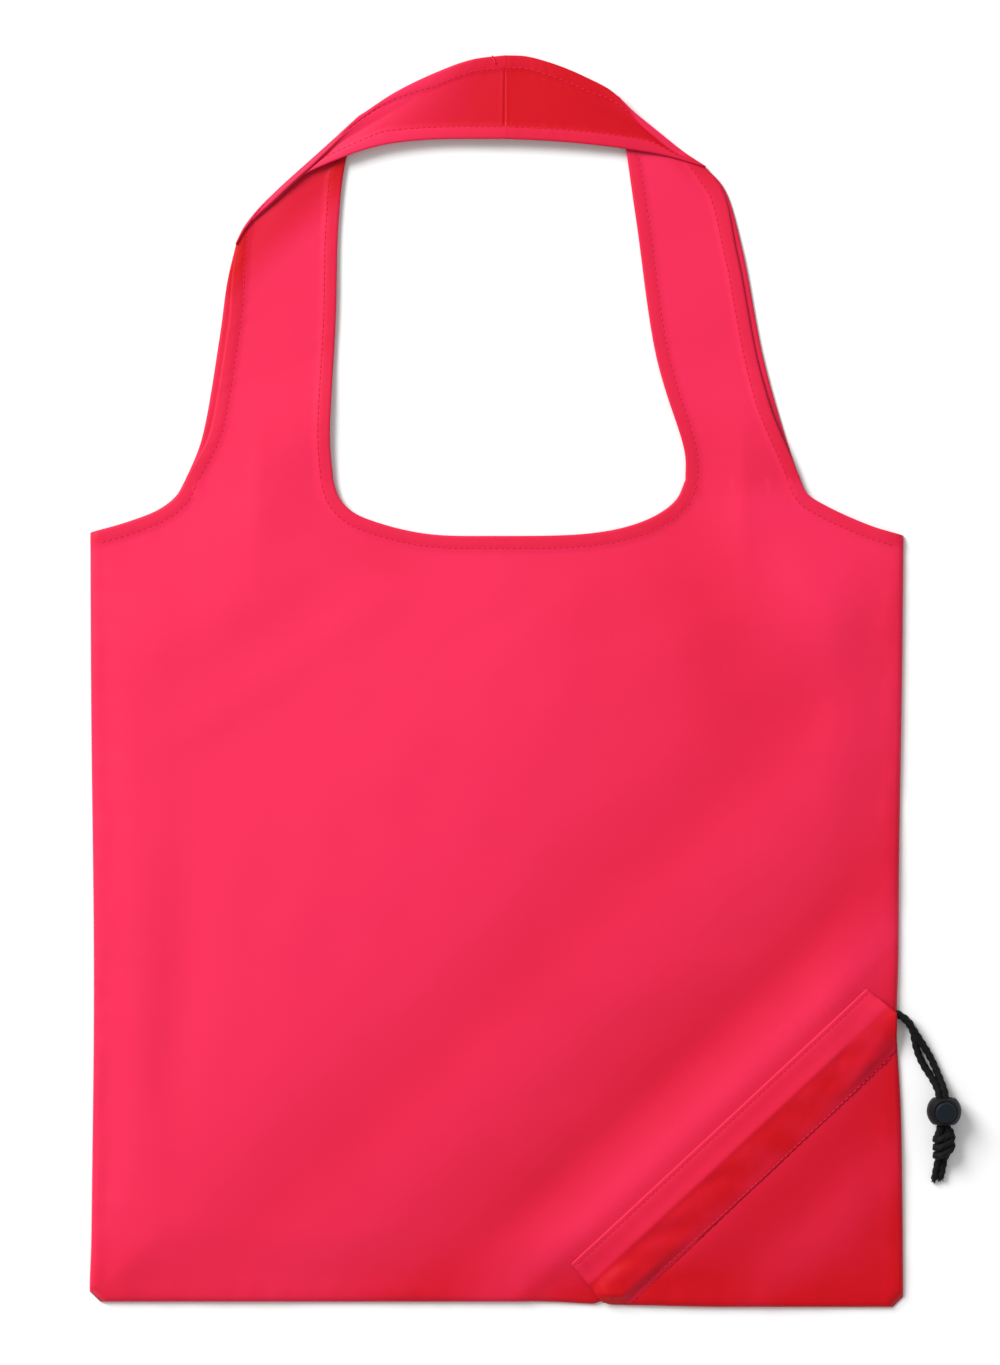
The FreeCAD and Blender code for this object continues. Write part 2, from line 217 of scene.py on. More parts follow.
MM = 0.001
HALF_W = 200.0
HALF_H = 307.5
ROOT_Y = 98.4               # where the handles leave the body
SEAM_X = 3.9                # centre seam of the handles
HEM = 6.0                   # stitch row to cloth edge
CLOTH = 0.36                # drawn thickness of one layer
GRID = 3.0                  # spacing of the sheets' inner points
CORD_D = 3.6                # across the braid's ribs; the CAD solid is its 3 mm core

# Outlines, as points that smooth curves pass through (x, y)
LEFT_ARMHOLE = [(-HALF_W, 72.5), (-182, 77.6), (-166, 84), (-157.5, 90.8), (-153.2, ROOT_Y)]
RIGHT_ARMHOLE = [(149.2, ROOT_Y), (152.6, 91.6), (162, 85.6), (184, 75.8), (HALF_W, 71)]
NECKLINE = [
    (92.8, ROOT_Y), (88.6, 89.2), (80, 82), (66, 76), (45, 72), (0, 70.8),
    (-34, 71.8), (-58, 77.2), (-71.5, 83), (-78, 90.2), (-80.6, ROOT_Y),
]
LEFT_OUTER = [(-153.2, ROOT_Y), (-145.4, 118), (-136.3, 169.7), (-132.6, 197), (-128.6, 214.5)]
LEFT_INNER = [(-80.6, ROOT_Y), (-82.7, 123), (-80.2, 180), (-78.9, 226), (-75, 256), (-67.4, 277.5)]
LEFT_FOLD = [
    (-128.6, 214.5), (-124.6, 222.5), (-118.8, 230.2), (-107.5, 241.5), (-87.5, 259.4), (-67.4, 277.5),
]
LEFT_BAND_TOP = [(-67.4, 277.5), (-50, 288.5), (-30.5, 298), (-12, 304.6), (SEAM_X, 306.6)]
LEFT_BAND_FOOT = [
    (-128.6, 214.5), (-124.2, 222.2), (-118.2, 229.6), (-107.1, 240.2), (-97, 247.2), (-86, 252.6),
    (-60, 261.8), (-36, 265.2), (SEAM_X, 265.7),
]
RIGHT_OUTER = [(149.2, ROOT_Y), (140.6, 124), (131, 158.6), (120.8, 211.5), (112, 242), (102.8, 252.6)]
RIGHT_INNER = [(92.8, ROOT_Y), (92.6, 112), (79, 161.5), (69.6, 226), (64.3, 260.5), (59.5, 286.9)]
RIGHT_FOLD = [(102.8, 252.6), (92.5, 259.3), (77.6, 271), (66, 280.5), (59.5, 286.9)]
RIGHT_BAND_TOP = [
    (59.5, 286.9), (54.6, 290.6), (45, 295.3), (36, 299.4), (25, 303.4), (14, 306.2), (SEAM_X, 306.6),
]
RIGHT_BAND_FOOT = [(102.8, 252.6), (86, 257.2), (63, 261), (30, 264.4), (SEAM_X, 265.7)]

# Casing frame: u runs down its upper edge, n across it
CASING_ORIGIN = np.array((181.5, -151.5))
CASING_U = np.array((-0.732, -0.681))
CASING_N = np.array((0.681, -0.732))
CASING_OUTLINE = [
    (181.5, -151.5), (196.3, -163.3), (196.3, -182.5), (66.4, -306.5), (52.2, -306.0), (36.3, -286.7),
]

# The cord's routes, point by point: the CAD model's, moved by up to 3 mm along the free stretch
TAIL_A = [
    (197.5, -164.4, 5.2), (200.8, -166.6, 5.2), (204.4, -171.4, 5.0), (207.8, -176.8, 4.1),
    (211.8, -182.9, 3.0), (215.1, -189.4, 2.3), (217.9, -196.5, 3.7), (220.4, -203.6, 7.0),
    (221.0, -218.6, 7.1), (221.0, -225.6, 6.2),
]
TAIL_B = [
    (197.5, -164.4, 2.0), (201.6, -166.7, 2.0), (204.5, -171.2, 2.0), (205.5, -176.8, 2.0),
    (206.7, -182.6, 2.0), (209.8, -189.6, 2.1), (214.6, -196.6, 3.7), (217.5, -203.8, 7.0),
    (217.85, -218.6, 7.1), (217.8, -225.6, 6.2),
]
KNOT_CENTRE = (219.2, -227.3, 5.4)
END_LEFT = [(217.9, -231.4, 4.2), (216.4, -238.0, 2.4), (215.0, -246.8, 1.8)]
END_RIGHT = [(220.4, -231.6, 4.4), (219.7, -238.2, 2.4), (218.1, -246.0, 1.8)]
# The hidden part of the cord, in the casing frame: (u, n) on the way down, and where it turns
HIDDEN = [
    (6.5, 16.6), (14, 18.8), (34, 21.2), (66, 20.6), (104, 23.4), (140, 23.8), (166, 26.2), (180, 26.4),
]
HIDDEN_TURN = (189.5, 26.9)
HIDDEN_FRONT_Z = 5.4
HIDDEN_BACK_Z = 2.25
HIDDEN_PRESS = 0.67         # the casings press the soft cord to this share of its height
HIDDEN_STEP = 0.8           # spacing of the hidden cord's rings


# Camera

def make_camera():
    data = bpy.data.cameras.new("camera")
    data.lens = 100.0
    data.sensor_width = 36.0
    data.clip_start = 0.01
    camera = bpy.data.objects.new("camera", data)
    camera.location = (0.0015, -0.0012, 1.8675)
    bpy.context.scene.collection.objects.link(camera)
    bpy.context.scene.camera = camera


make_camera()


# Lines and fields

def resample(line, count):
    """The same line as count evenly spaced points."""
    gaps = np.linalg.norm(np.diff(line, axis=0), axis=1)
    along = np.concatenate([[0.0], np.cumsum(gaps)])
    wanted = np.linspace(0.0, along[-1], count)
    return np.column_stack([np.interp(wanted, along, line[:, k]) for k in range(line.shape[1])])


def line_length(line):
    return np.linalg.norm(np.diff(line, axis=0), axis=1).sum()


def directions(line):
    """Unit vectors along a line, at its points."""
    tangent = np.gradient(line, axis=0)
    return tangent / np.linalg.norm(tangent, axis=1)[:, None]


def along_corners(corners, spacing):
    """Points from corner to corner, that far apart or a little more, without the last corner."""
    runs = []
    for a, b in zip(corners, corners[1:]):
        count = max(2, round(math.dist(a, b) / spacing))
        runs.append(resample(np.array([a, b], float), count)[:-1])
    return np.vstack(runs)


def smooth_line(points, step=2.0):
    """Evenly spaced points on a smooth curve through the given ones."""
    p = np.array(points, float)
    p = np.vstack([2 * p[0] - p[1], p, 2 * p[-1] - p[-2]])
    made = [p[1:2]]
    for a, b, c, d in zip(p, p[1:], p[2:], p[3:]):
        spans = [math.sqrt(np.linalg.norm(v - u)) for u, v in ((a, b), (b, c), (c, d))]
        t0, t1, t2, t3 = np.cumsum([0.0] + spans)
        t = np.linspace(t1, t2, 21)[1:, None]
        ab = (a * (t1 - t) + b * (t - t0)) / (t1 - t0)
        bc = (b * (t2 - t) + c * (t - t1)) / (t2 - t1)
        cd = (c * (t3 - t) + d * (t - t2)) / (t3 - t2)
        abc = (ab * (t2 - t) + bc * (t - t0)) / (t2 - t0)
        bcd = (bc * (t3 - t) + cd * (t - t1)) / (t3 - t1)
        made.append((abc * (t2 - t) + bcd * (t - t1)) / (t2 - t1))
    line = np.vstack(made)
    return resample(line, max(2, round(line_length(line) / step) + 1))


def ease(x):
    """0 below 0, 1 above 1 and smooth between."""
    x = np.clip(x, 0.0, 1.0)
    return x * x * (3 - 2 * x)


def bump(x, width):
    return np.exp(-((x / width) ** 2))


def distance_to(line, points):
    """Distance of each point to a line of points."""
    best = np.full(len(points), 1e9)
    for a, b in zip(line, line[1:]):
        ab = b - a
        t = np.clip(((points - a) @ ab) / max(ab @ ab, 1e-9), 0.0, 1.0)
        best = np.minimum(best, np.linalg.norm(points - a - t[:, None] * ab, axis=1))
    return best


def waves(x, y, size, seed):
    """Soft irregular waves between about -1 and 1, of that size in millimetres."""
    draw = random.Random(seed)
    total = np.zeros(np.broadcast(x, y).shape)
    for _ in range(9):
        angle = draw.uniform(0.0, 2 * math.pi)
        length = size * draw.uniform(0.7, 1.5)
        phase = draw.uniform(0.0, 2 * math.pi)
        total += np.sin((x * math.cos(angle) + y * math.sin(angle)) * 2 * math.pi / length + phase)
    return total / 4.5


def hem_lift(edge, along, seed):
    """How far a turned and stitched hem stands above single cloth, at that distance from its edge."""
    hem = 0.45 * ease(edge / 0.9 + 0.3) * (1 - ease((edge - HEM - 0.2) / 1.3))
    pull = waves(along, edge * 0.3, 9.0, seed)
    groove = (0.22 + 0.08 * pull) * bump(edge - HEM, 0.7)
    pucker = 0.10 * pull * bump(edge - HEM, 4.0)
    return hem - groove + pucker


def grid_faces(rows, columns, offset=0):
    """Quads between rows of points that follow each other, from the point numbered offset."""
    for i in range(rows - 1):
        for j in range(columns - 1):
            a = offset + i * columns + j
            yield (a, a + 1, a + columns + 1, a + columns)


def triangulate(outline, inner):
    """Flat points and triangles inside a closed outline, through the inner points."""
    n = len(outline)
    points = [Vector(p) for p in np.vstack([outline, inner])]
    flat, _, faces, *_ = delaunay_2d_cdt(points, [(i, (i + 1) % n) for i in range(n)], [], 1, 1e-4)
    return np.array([tuple(p) for p in flat]), [list(f) for f in faces]


def make_mesh(name, points, faces, slot):
    """A smooth mesh from points in millimetres, with the slot and its material."""
    mesh = bpy.data.meshes.new(name)
    places = [tuple(p) for p in np.asarray(points) * MM]
    mesh.from_pydata(places, [], [tuple(int(i) for i in f) for f in faces])
    mesh.update()
    obj = bpy.data.objects.new(name, mesh)
    bpy.context.scene.collection.objects.link(obj)
    mesh.materials.append(MATERIALS[slot])
    mesh.shade_smooth()
    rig.slot(obj, slot)
    return obj


def bake_modifiers(obj):
    """Applies the object's modifiers to its mesh."""
    graph = bpy.context.evaluated_depsgraph_get()
    mesh = bpy.data.meshes.new_from_object(obj.evaluated_get(graph))
    obj.modifiers.clear()
    obj.data = mesh


def thicken(obj, thickness=CLOTH):
    """Gives a sheet its thickness, centred on the drawn surface."""
    solidify = obj.modifiers.new("thickness", "SOLIDIFY")
    solidify.thickness = thickness * MM
    solidify.offset = 0.0
    bake_modifiers(obj)
    obj.data.shade_smooth()


def set_depth_and_shade(obj, values):
    """How deep the cloth's colour is at each point: 0 for thin stacked cloth, 1 for thick, with painted shade and
    painted light added in.
    """
    attribute = obj.data.attributes.new("layers", "FLOAT", "POINT")
    attribute.data.foreach_set("value", np.clip(values, 0.0, 1.0).astype(np.float32))


# Handles: a strap, its fold and half of the band, as one strip

SIDES = {
    "left": (-1, LEFT_OUTER, LEFT_INNER, LEFT_FOLD, LEFT_BAND_TOP, LEFT_BAND_FOOT),
    "right": (1, RIGHT_OUTER, RIGHT_INNER, RIGHT_FOLD, RIGHT_BAND_TOP, RIGHT_BAND_FOOT),
}
# Heights in millimetres of each handle: strap, strap and band at the fold's lower end,
# band at the fold's upper end, band at the centre seam
LEVELS = {"back": (0.9, 0.7, 2.6, 5.5, 6.1), "front": (2.1, 1.3, 1.9, 4.4, 5.0)}
FRONT_STEP = 3.0            # the front strap's outer edge lies inside the back strap's
FOLD_STEP = 0.5             # the same at the folds
FOLD_RISE = 0.75            # share of a fold over which the band lifts off the strap
STRAP_ROWS, FOLD_ROWS, BAND_ROWS = 70, 12, 64
BAND_T = np.concatenate([np.linspace(0.0, 0.985, BAND_ROWS - 3), [0.991, 0.996, 1.0]])
HEM_COLUMNS = (0.0, 0.5, 1.4, 3.0, 4.6, 5.5, 6.0, 6.5, 7.3)
MIDDLE_COLUMNS = 18
MOST_SLANT = 1.9            # a hem's columns spread no further than this along a slanted row


def fold_reach(s):
    """How far the cloth's roll reaches out at a fold, from its lower end at s = 0 to its upper end."""
    return 0.3 + 2.7 * ease(s / 0.35) * ease((1 - s) / 0.4)


def at_share(line, t):
    """The place on a line at share t of its points, for one t or many."""
    place, count = t * (len(line) - 1), np.arange(len(line))
    return np.stack([np.interp(place, count, line[:, k]) for k in (0, 1)], axis=-1)


def slant(chord, edge_direction):
    """How much longer a hem's columns are along a row that meets the edge at a slant."""
    sine = abs(chord[0] * edge_direction[1] - chord[1] * edge_direction[0])
    return min(MOST_SLANT, 1.0 / max(sine, 0.1))


class HalfHandle:
    """One strap and its half of the band, as rows of points from the body to the centre seam."""

    def __init__(self, side, layer):
        self.name, self.layer = side, layer
        self.sign, outer, inner, fold, top, foot = SIDES[side]
        self.inset = 0.0 if layer == "back" else FRONT_STEP
        self.strap = [resample(smooth_line(line), STRAP_ROWS) for line in (outer, inner)]
        self.band = [resample(smooth_line(line), BAND_ROWS) for line in (foot, top)]
        self.fold = smooth_line(fold)
        self.rows, self.edge, self.along, self.stage = [], [], [], []
        self.travelled = 0.0
        self.build_strap()
        self.build_fold()
        self.build_band()
        self.rows, self.edge = np.array(self.rows), np.array(self.edge)
        self.along, self.stage = np.array(self.along), np.array(self.stage)
        self.rows[:, :, 2] += hem_lift(self.edge, self.along, side)

    def fold_line(self, s):
        """How far the fold bows out from its chord at the shares s, and its outward direction there."""
        chord = self.fold[0] + (self.fold[-1] - self.fold[0]) * s[:, None]
        tangent = at_share(np.gradient(self.fold, axis=0), s)
        tangent /= np.linalg.norm(tangent, axis=1)[:, None]
        outward = np.column_stack([tangent[:, 1], -tangent[:, 0]]) * self.sign
        return at_share(self.fold, s) - chord, outward

    def ruled(self, a, b, direction_a, direction_b, share):
        """One row from edge point a to b, whose edges run in those directions.

        share says how far the row has taken the fold's shape. It returns the row's points, each point's
        share of the row and distance from the nearer edge, and the fold's outward direction there.
        """
        width = np.linalg.norm(b - a)
        chord = (b - a) / width
        ka, kb = slant(chord, direction_a), slant(chord, direction_b)
        hem = np.array(HEM_COLUMNS)
        middle = np.linspace(hem[-1] * ka, width - hem[-1] * kb, MIDDLE_COLUMNS + 2)[1:-1]
        d = np.concatenate([hem * ka, middle, width - hem[::-1] * kb])
        s = d / width
        bow, outward = self.fold_line(s)
        plan = a + (b - a) * s[:, None] + bow * share - outward * fold_reach(s)[:, None] * share
        return plan, s, np.minimum(d / ka, (width - d) / kb), outward

    def add(self, plan, z, edge, part, step):
        """Takes up a row. part is 0 at the body, 0.5 at the fold and 1 at the centre seam."""
        self.rows.append(np.column_stack([plan, np.broadcast_to(z, len(plan))]))
        self.edge.append(edge)
        self.along.append(np.full(len(plan), self.travelled))
        self.stage.append(np.full(len(plan), part))
        self.travelled += step

    def stepped_in(self, a, b, step):
        """The two edge points of a row, moved in under the outer handle."""
        shift = np.array([-self.sign * step, -0.3 * step])
        return a + shift, b + np.array([-self.sign * 0.3 * step, -0.3 * step])

    def build_strap(self):
        outer, inner = self.strap
        along = [directions(line) for line in self.strap]
        level, low, *_ = LEVELS[self.layer]
        for i in range(STRAP_ROWS):
            t = i / (STRAP_ROWS - 1)
            step = self.inset * ease(t * 4.0)
            step += (min(self.inset, FOLD_STEP) - step) * ease((t - 0.7) / 0.3)
            a, b = self.stepped_in(outer[i], inner[i], step)
            plan, s, edge, _ = self.ruled(a, b, along[0][i], along[1][i], ease((t - 0.72) / 0.28))
            x, y = plan[:, 0], plan[:, 1]
            z = level + 0.35 * waves(x, y, 70.0, f"{self.name} strap")
            z = z + (low - z) * ease((t - 0.75) / 0.25) * (1 - ease(s / 0.5))
            z = z + (body_height(self.layer, x, y) - z) * (1 - ease(t * 2.6))
            self.add(plan, z, edge, 0.5 * t, 2.5)
        self.last = (a, b, along[0][-1], along[1][-1])

    def build_fold(self):
        *_, low, high, _ = LEVELS[self.layer]
        start = self.rows[-1][:, 2]
        for i in range(1, FOLD_ROWS):
            turn = math.pi * i / FOLD_ROWS
            plan, s, edge, outward = self.ruled(*self.last, 1.0)
            plan = plan + outward * (fold_reach(s) * math.sin(turn))[:, None]
            end = low + (high - low) * ease(s / FOLD_RISE)
            z = start + (end - start) * (1 - math.cos(turn)) / 2
            self.add(plan, z, edge, 0.5, 1.2)

    def build_band(self):
        foot, top = self.band
        along = [directions(line) for line in self.band]
        *_, low, high, seam = LEVELS[self.layer]
        narrow = 0.45 * self.inset
        for t in BAND_T:
            a, b = at_share(foot, t), at_share(top, t)
            a, b = self.stepped_in(a, b, min(self.inset, FOLD_STEP) * (1 - ease(t * 1.5)))
            a = a + np.array([0.0, narrow * ease(t * 3)])
            b = b - np.array([0.0, narrow * ease(t * 3)])
            k = min(round(t * (BAND_ROWS - 1)), BAND_ROWS - 1)
            plan, s, edge, _ = self.ruled(a, b, along[0][k], along[1][k], 1 - ease(t / 0.3))
            x, y = plan[:, 0], plan[:, 1]
            start = low + (high - low) * ease(np.maximum(s / FOLD_RISE, 1.5 * t))
            z = start + (seam - start) * ease((t - 0.12) / 0.85)
            z = z + 0.4 * waves(x, y, 60.0, "band") * ease(t * 4) * ease((1 - t) * 6)
            groove = bump(t - 1.0, 0.004) - 0.3 * bump(t - 0.991, 0.004)
            self.add(plan, z - 0.4 * groove * ease((edge - HEM) / 0.8), edge, 0.5 + 0.5 * t, 2.3)

    def layers(self):
        """Depth of colour: deeper in the hems and on the band, where cloth is stacked, with painted shade and painted
        light on the straps and the band.
        """
        s = np.linspace(0.0, 1.0, self.edge.shape[1])[None, :]
        t = np.clip(self.stage * 2, 0.0, 1.0)
        b = np.clip(self.stage * 2 - 1, 0.0, 1.0)
        hem = ease((HEM + 0.4 - self.edge) / 0.8)
        if self.name == "left":
            # painted shade: the left strap deepens towards the band that lies over it, and in a strip near its outer
            # edge
            strap = 0.04 + (0.48 + 0.3 * s) * ease((t - 0.70) / 0.2)
            strap = strap + 0.18 * bump(s - 0.1, 0.16) * ease((t - 0.3) / 0.4)
            # painted light and shade: the left band is light by its fold and deep towards the centre seam, with painted
            # highlights on its hems, most on the lower one
            band = 0.02 + 0.85 * ease((b - 0.35) / 0.6)
            band = band - hem * ease((b - 0.3) / 0.5) * np.where(s < 0.5, 0.50, 0.12)
        else:
            # painted shade: the right strap deepens at its top under the band, most on its outer side, and it is deeper
            # by its root; the right band is deep for its stacked cloth, with painted highlights on its hems
            strap = 0.05 + 0.25 * ease((t - 0.85) / 0.15) * (1 - s) + 0.14 * (1 - ease(t / 0.3))
            band = 0.98 - 0.08 * ease((0.35 - b) / 0.35)
            band = band - hem * np.where(s < 0.5, 0.50, 0.15 * ease((b - 0.55) / 0.3))
        band = band + 0.35 * bump(1 - b, 0.003) * (1 - hem)
        # painted light: the folds' rows take one light tone
        strap = np.where(np.arange(len(self.edge))[:, None] > STRAP_ROWS, 0.12, strap)
        return np.where(self.stage <= 0.5, strap + 0.30 * hem, band)


# Materials

def new_material(name, colour, roughness, **inputs):
    """A material, its node tree and its shader. Other inputs of the shader go by name, with _ for spaces."""
    material = bpy.data.materials.new(name)
    material.use_nodes = True
    shader = material.node_tree.nodes["Principled BSDF"]
    for key, value in {"Base_Color": (*colour, 1), "Roughness": roughness, **inputs}.items():
        shader.inputs[key.replace("_", " ")].default_value = value
    return material, material.node_tree, shader


def add_node(tree, kind, **values):
    """A node with some of its inputs or settings given."""
    node = tree.nodes.new(kind)
    for key, value in values.items():
        if key in node.inputs:
            node.inputs[key].default_value = value
        else:
            setattr(node, key, value)
    return node


def object_space(tree):
    return add_node(tree, "ShaderNodeTexCoord").outputs["Object"]


def add_bump(tree, shader, height, distance, strength, under=None):
    bumps = add_node(tree, "ShaderNodeBump", Distance=distance, Strength=strength)
    tree.links.new(height, bumps.inputs["Height"])
    if under:
        tree.links.new(under, bumps.inputs["Normal"])
    tree.links.new(bumps.outputs["Normal"], shader.inputs["Normal"])
    return bumps.outputs["Normal"]


def add_noise(tree, place, scale, detail=3.0):
    noise = add_node(tree, "ShaderNodeTexNoise", Scale=scale, Detail=detail)
    tree.links.new(place, noise.inputs["Vector"])
    return noise.outputs["Fac"]


def add_math(tree, operation, *values):
    """The result of a sum over numbers and other nodes' outputs."""
    node = add_node(tree, "ShaderNodeMath", operation=operation)
    for value, socket in zip(values, node.inputs):
        if isinstance(value, (int, float)):
            socket.default_value = value
        else:
            tree.links.new(value, socket)
    return node.outputs[0]


def vary_roughness(tree, shader, scale, least, spread):
    """Roughness that varies with a noise of that scale, from the least over that range."""
    noise = add_noise(tree, object_space(tree), scale)
    tree.links.new(add_math(tree, "MULTIPLY_ADD", noise, spread, least), shader.inputs["Roughness"])


CLOTH_PALE = (0.80, 0.0215, 0.086)
CLOTH_DEEP = (0.56, 0.0016, 0.008)
WEAVE = 0.0004              # spacing of the weave's threads, metres
ONE_WAVE = 0.314            # the wave texture's scale for one wave in a metre


def cloth_material():
    """Thin polyester: a fine plain weave, deeper in colour where cloth is stacked and where shade is painted, paler
    where light is painted.
    """
    material, tree, shader = new_material(
        "cloth", CLOTH_PALE, 0.48, Sheen_Weight=0.05, Sheen_Roughness=0.35, Sheen_Tint=(1.0, 0.35, 0.5, 1),
        Specular_IOR_Level=0.14)
    place = object_space(tree)
    # the depth attribute holds stacked cloth together with painted shade and painted light
    tone = add_node(tree, "ShaderNodeAttribute", attribute_name="layers").outputs["Fac"]
    drift = add_math(tree, "MULTIPLY_ADD", add_noise(tree, place, 14.0), 0.16, -0.08)
    mix = add_node(tree, "ShaderNodeMix", data_type="RGBA")
    share, pale, deep = mix.inputs[0], mix.inputs[6], mix.inputs[7]
    pale.default_value, deep.default_value = (*CLOTH_PALE, 1), (*CLOTH_DEEP, 1)
    tree.links.new(add_math(tree, "ADD", tone, drift), share)
    tree.links.new(mix.outputs[2], shader.inputs["Base Color"])
    threads = []
    for axis in ("X", "Y"):
        wave = add_node(
            tree, "ShaderNodeTexWave", bands_direction=axis, Scale=ONE_WAVE / WEAVE, Distortion=0.6)
        wave.inputs["Detail Scale"].default_value = 40.0
        tree.links.new(place, wave.inputs["Vector"])
        threads.append(wave.outputs["Fac"])
    wrinkles = add_bump(tree, shader, add_noise(tree, place, 260.0, 5.0), 0.00012, 0.35)
    add_bump(tree, shader, add_math(tree, "MULTIPLY", *threads), 0.00006, 0.45, wrinkles)
    vary_roughness(tree, shader, 60.0, 0.40, 0.14)
    return material


def noisy_material(name, colour, roughness, noise, **inputs):
    """A material with a fine noise in its surface: its scale, detail, depth and strength."""
    scale, detail, depth, strength = noise
    material, tree, shader = new_material(name, colour, roughness, **inputs)
    add_bump(tree, shader, add_noise(tree, object_space(tree), scale, detail), depth, strength)
    return material, tree, shader


def plastic_material(name, colour, roughness):
    """Moulded plastic with a faint eroded texture."""
    noise = (1500.0, 4.0, 0.00003, 0.35)
    material, tree, shader = noisy_material(name, colour, roughness, noise, Specular_IOR_Level=0.14)
    vary_roughness(tree, shader, 220.0, roughness - 0.06, 0.12)
    return material


MATERIALS = {
    "cloth": cloth_material(),
    "thread": noisy_material(
        "thread", (0.70, 0.014, 0.055), 0.6, (2400.0, 3.0, 0.00005, 0.5), Specular_IOR_Level=0.15)[0],
    "cord": noisy_material(
        "cord", (0.003, 0.003, 0.0035), 0.7, (2600.0, 4.0, 0.00012, 0.8),
        Sheen_Weight=0.02, Specular_IOR_Level=0.16)[0],
    "lock_body": plastic_material("lock_body", (0.007, 0.008, 0.010), 0.5),
    "lock_button": plastic_material("lock_button", (0.007, 0.011, 0.017), 0.45),
    "spring_steel": noisy_material(
        "spring_steel", (0.55, 0.55, 0.56), 0.3, (900.0, 3.0, 0.00002, 0.3), Metallic=1.0)[0],
}


# Cords

def braid_surface(path, diameter, around=20, strands=4, press=1.0):
    """Points and faces of a braid along a path, in millimetres, with closed ends. press flattens it."""
    path = np.asarray(path, float)
    gaps = np.linalg.norm(np.diff(path, axis=0), axis=1)
    along = np.concatenate([[0.0], np.cumsum(gaps)])
    tangent = np.gradient(path, axis=0)
    tangent /= np.linalg.norm(tangent, axis=1)[:, None]
    side = np.cross(tangent[0], (0.0, 0.0, 1.0))
    sides = []
    for t in tangent:
        side = side - t * (side @ t)
        side /= np.linalg.norm(side)
        sides.append(side)
    sides = np.array(sides)
    ups = np.cross(sides, tangent)
    angle = np.arange(around) * 2 * math.pi / around
    lay = along[:, None] * 2 * math.pi / (4.2 * diameter)
    left = np.cos(strands * (angle[None, :] + lay))
    right = np.cos(strands * (angle[None, :] - lay))
    over = np.cos(2 * strands * lay) * 0.5 + 0.5
    relief = over * left + (1 - over) * right
    radius = diameter / 2 * (0.95 + 0.12 * relief)
    rings = path[:, None, :] + sides[:, None, :] * (radius * np.cos(angle))[..., None]
    rings = rings + ups[:, None, :] * (radius * press * np.sin(angle))[..., None]
    n = len(path)
    points = np.vstack([rings.reshape(-1, 3), path[:1], path[-1:]])
    faces = []
    for i in range(n - 1):
        for j in range(around):
            k = (j + 1) % around
            faces.append((i * around + j, i * around + k, (i + 1) * around + k, (i + 1) * around + j))
    for j in range(around):
        k = (j + 1) % around
        faces.append((n * around, k, j))
        faces.append((n * around + 1, (n - 1) * around + j, (n - 1) * around + k))
    return points, faces


def nurbs_line(points, step=0.3):
    """Evenly spaced points, in millimetres, on the smooth curve that has these control points."""
    data = bpy.data.curves.new("route", "CURVE")
    data.dimensions = "3D"
    spline = data.splines.new("NURBS")
    spline.points.add(len(points) - 1)
    for point, place in zip(spline.points, points):
        point.co = (*[c * MM for c in place], 1)
    spline.order_u = 3
    spline.use_endpoint_u = True
    spline.resolution_u = 16
    route = bpy.data.objects.new("route", data)
    bpy.context.scene.collection.objects.link(route)
    mesh = bpy.data.meshes.new_from_object(route)
    line = np.array([v.co for v in mesh.vertices]) / MM
    bpy.data.objects.remove(route)
    bpy.data.curves.remove(data)
    bpy.data.meshes.remove(mesh)
    return resample(line, round(line_length(line) / step) + 1)


def join(parts):
    """One list of points and one of faces from several."""
    points, faces, offset = [], [], 0
    for p, f in parts:
        points.append(np.asarray(p))
        faces += [[i + offset for i in face] for face in f]
        offset += len(p)
    return np.vstack(points), faces


CORD_BEND = ((197.5, -164.4, 3.5), (204.5, -172.5, 3.5))       # where the free strands begin to swing


def make_tail(name, points, pieces):
    """A free strand, which swings about the exit with everything on it."""
    line = nurbs_line(points)
    tail = make_mesh(name, *braid_surface(line, CORD_D), "cord")
    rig.blend(tail, "bag", "cord_tail", *[[c * MM for c in place] for place in CORD_BEND])
    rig.replaces(tail, "drawcord_" + name)
    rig.cord(
        tail, exit=[c * MM for c in points[0]], length=line_length(line) * MM, diameter=CORD_D * MM,
        far_end="knot", stiffness="limp", lay="loose", path=line * MM, with_pieces=pieces,
    )


def make_knot():
    """Overhand knot in both strands: one winds round, the other runs through."""
    cx, cy, cz = KNOT_CENTRE
    wound = [(1.7, 8.0, 1.2), (2.3, 6.4, 1.9)]
    turns, steps = 2.45, 8
    for i in range(round(turns * steps) + 1):
        share = i / (turns * steps)
        angle = 0.6 + 2 * math.pi * i / steps
        x, z = 4.3 * math.cos(angle), 3.3 * math.sin(angle)
        wound.append((x + 0.3, 5.0 - 9.8 * share + 0.42 * x - 0.45 * z, z))
    wound += [(-1.9, -5.2, -0.2), (-1.4, -7.0, -1.4)]
    through = [
        (-1.7, 8.0, 1.2), (-2.2, 6.0, 1.6), (-2.9, 3.2, 1.9), (-1.2, 0.6, 0.6), (0.9, -1.8, -0.4),
        (2.0, -4.2, 0.2), (1.4, -6.8, -1.2),
    ]
    parts = []
    for line in (wound, through):
        places = [(cx + x, cy + y, cz + z) for x, y, z in line]
        parts.append(braid_surface(nurbs_line(places), CORD_D))
    knot = make_mesh("cord_knot", *join(parts), "cord")
    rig.ride(knot, "cord_tail")
    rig.replaces(knot, "drawcord_knot")
    return knot


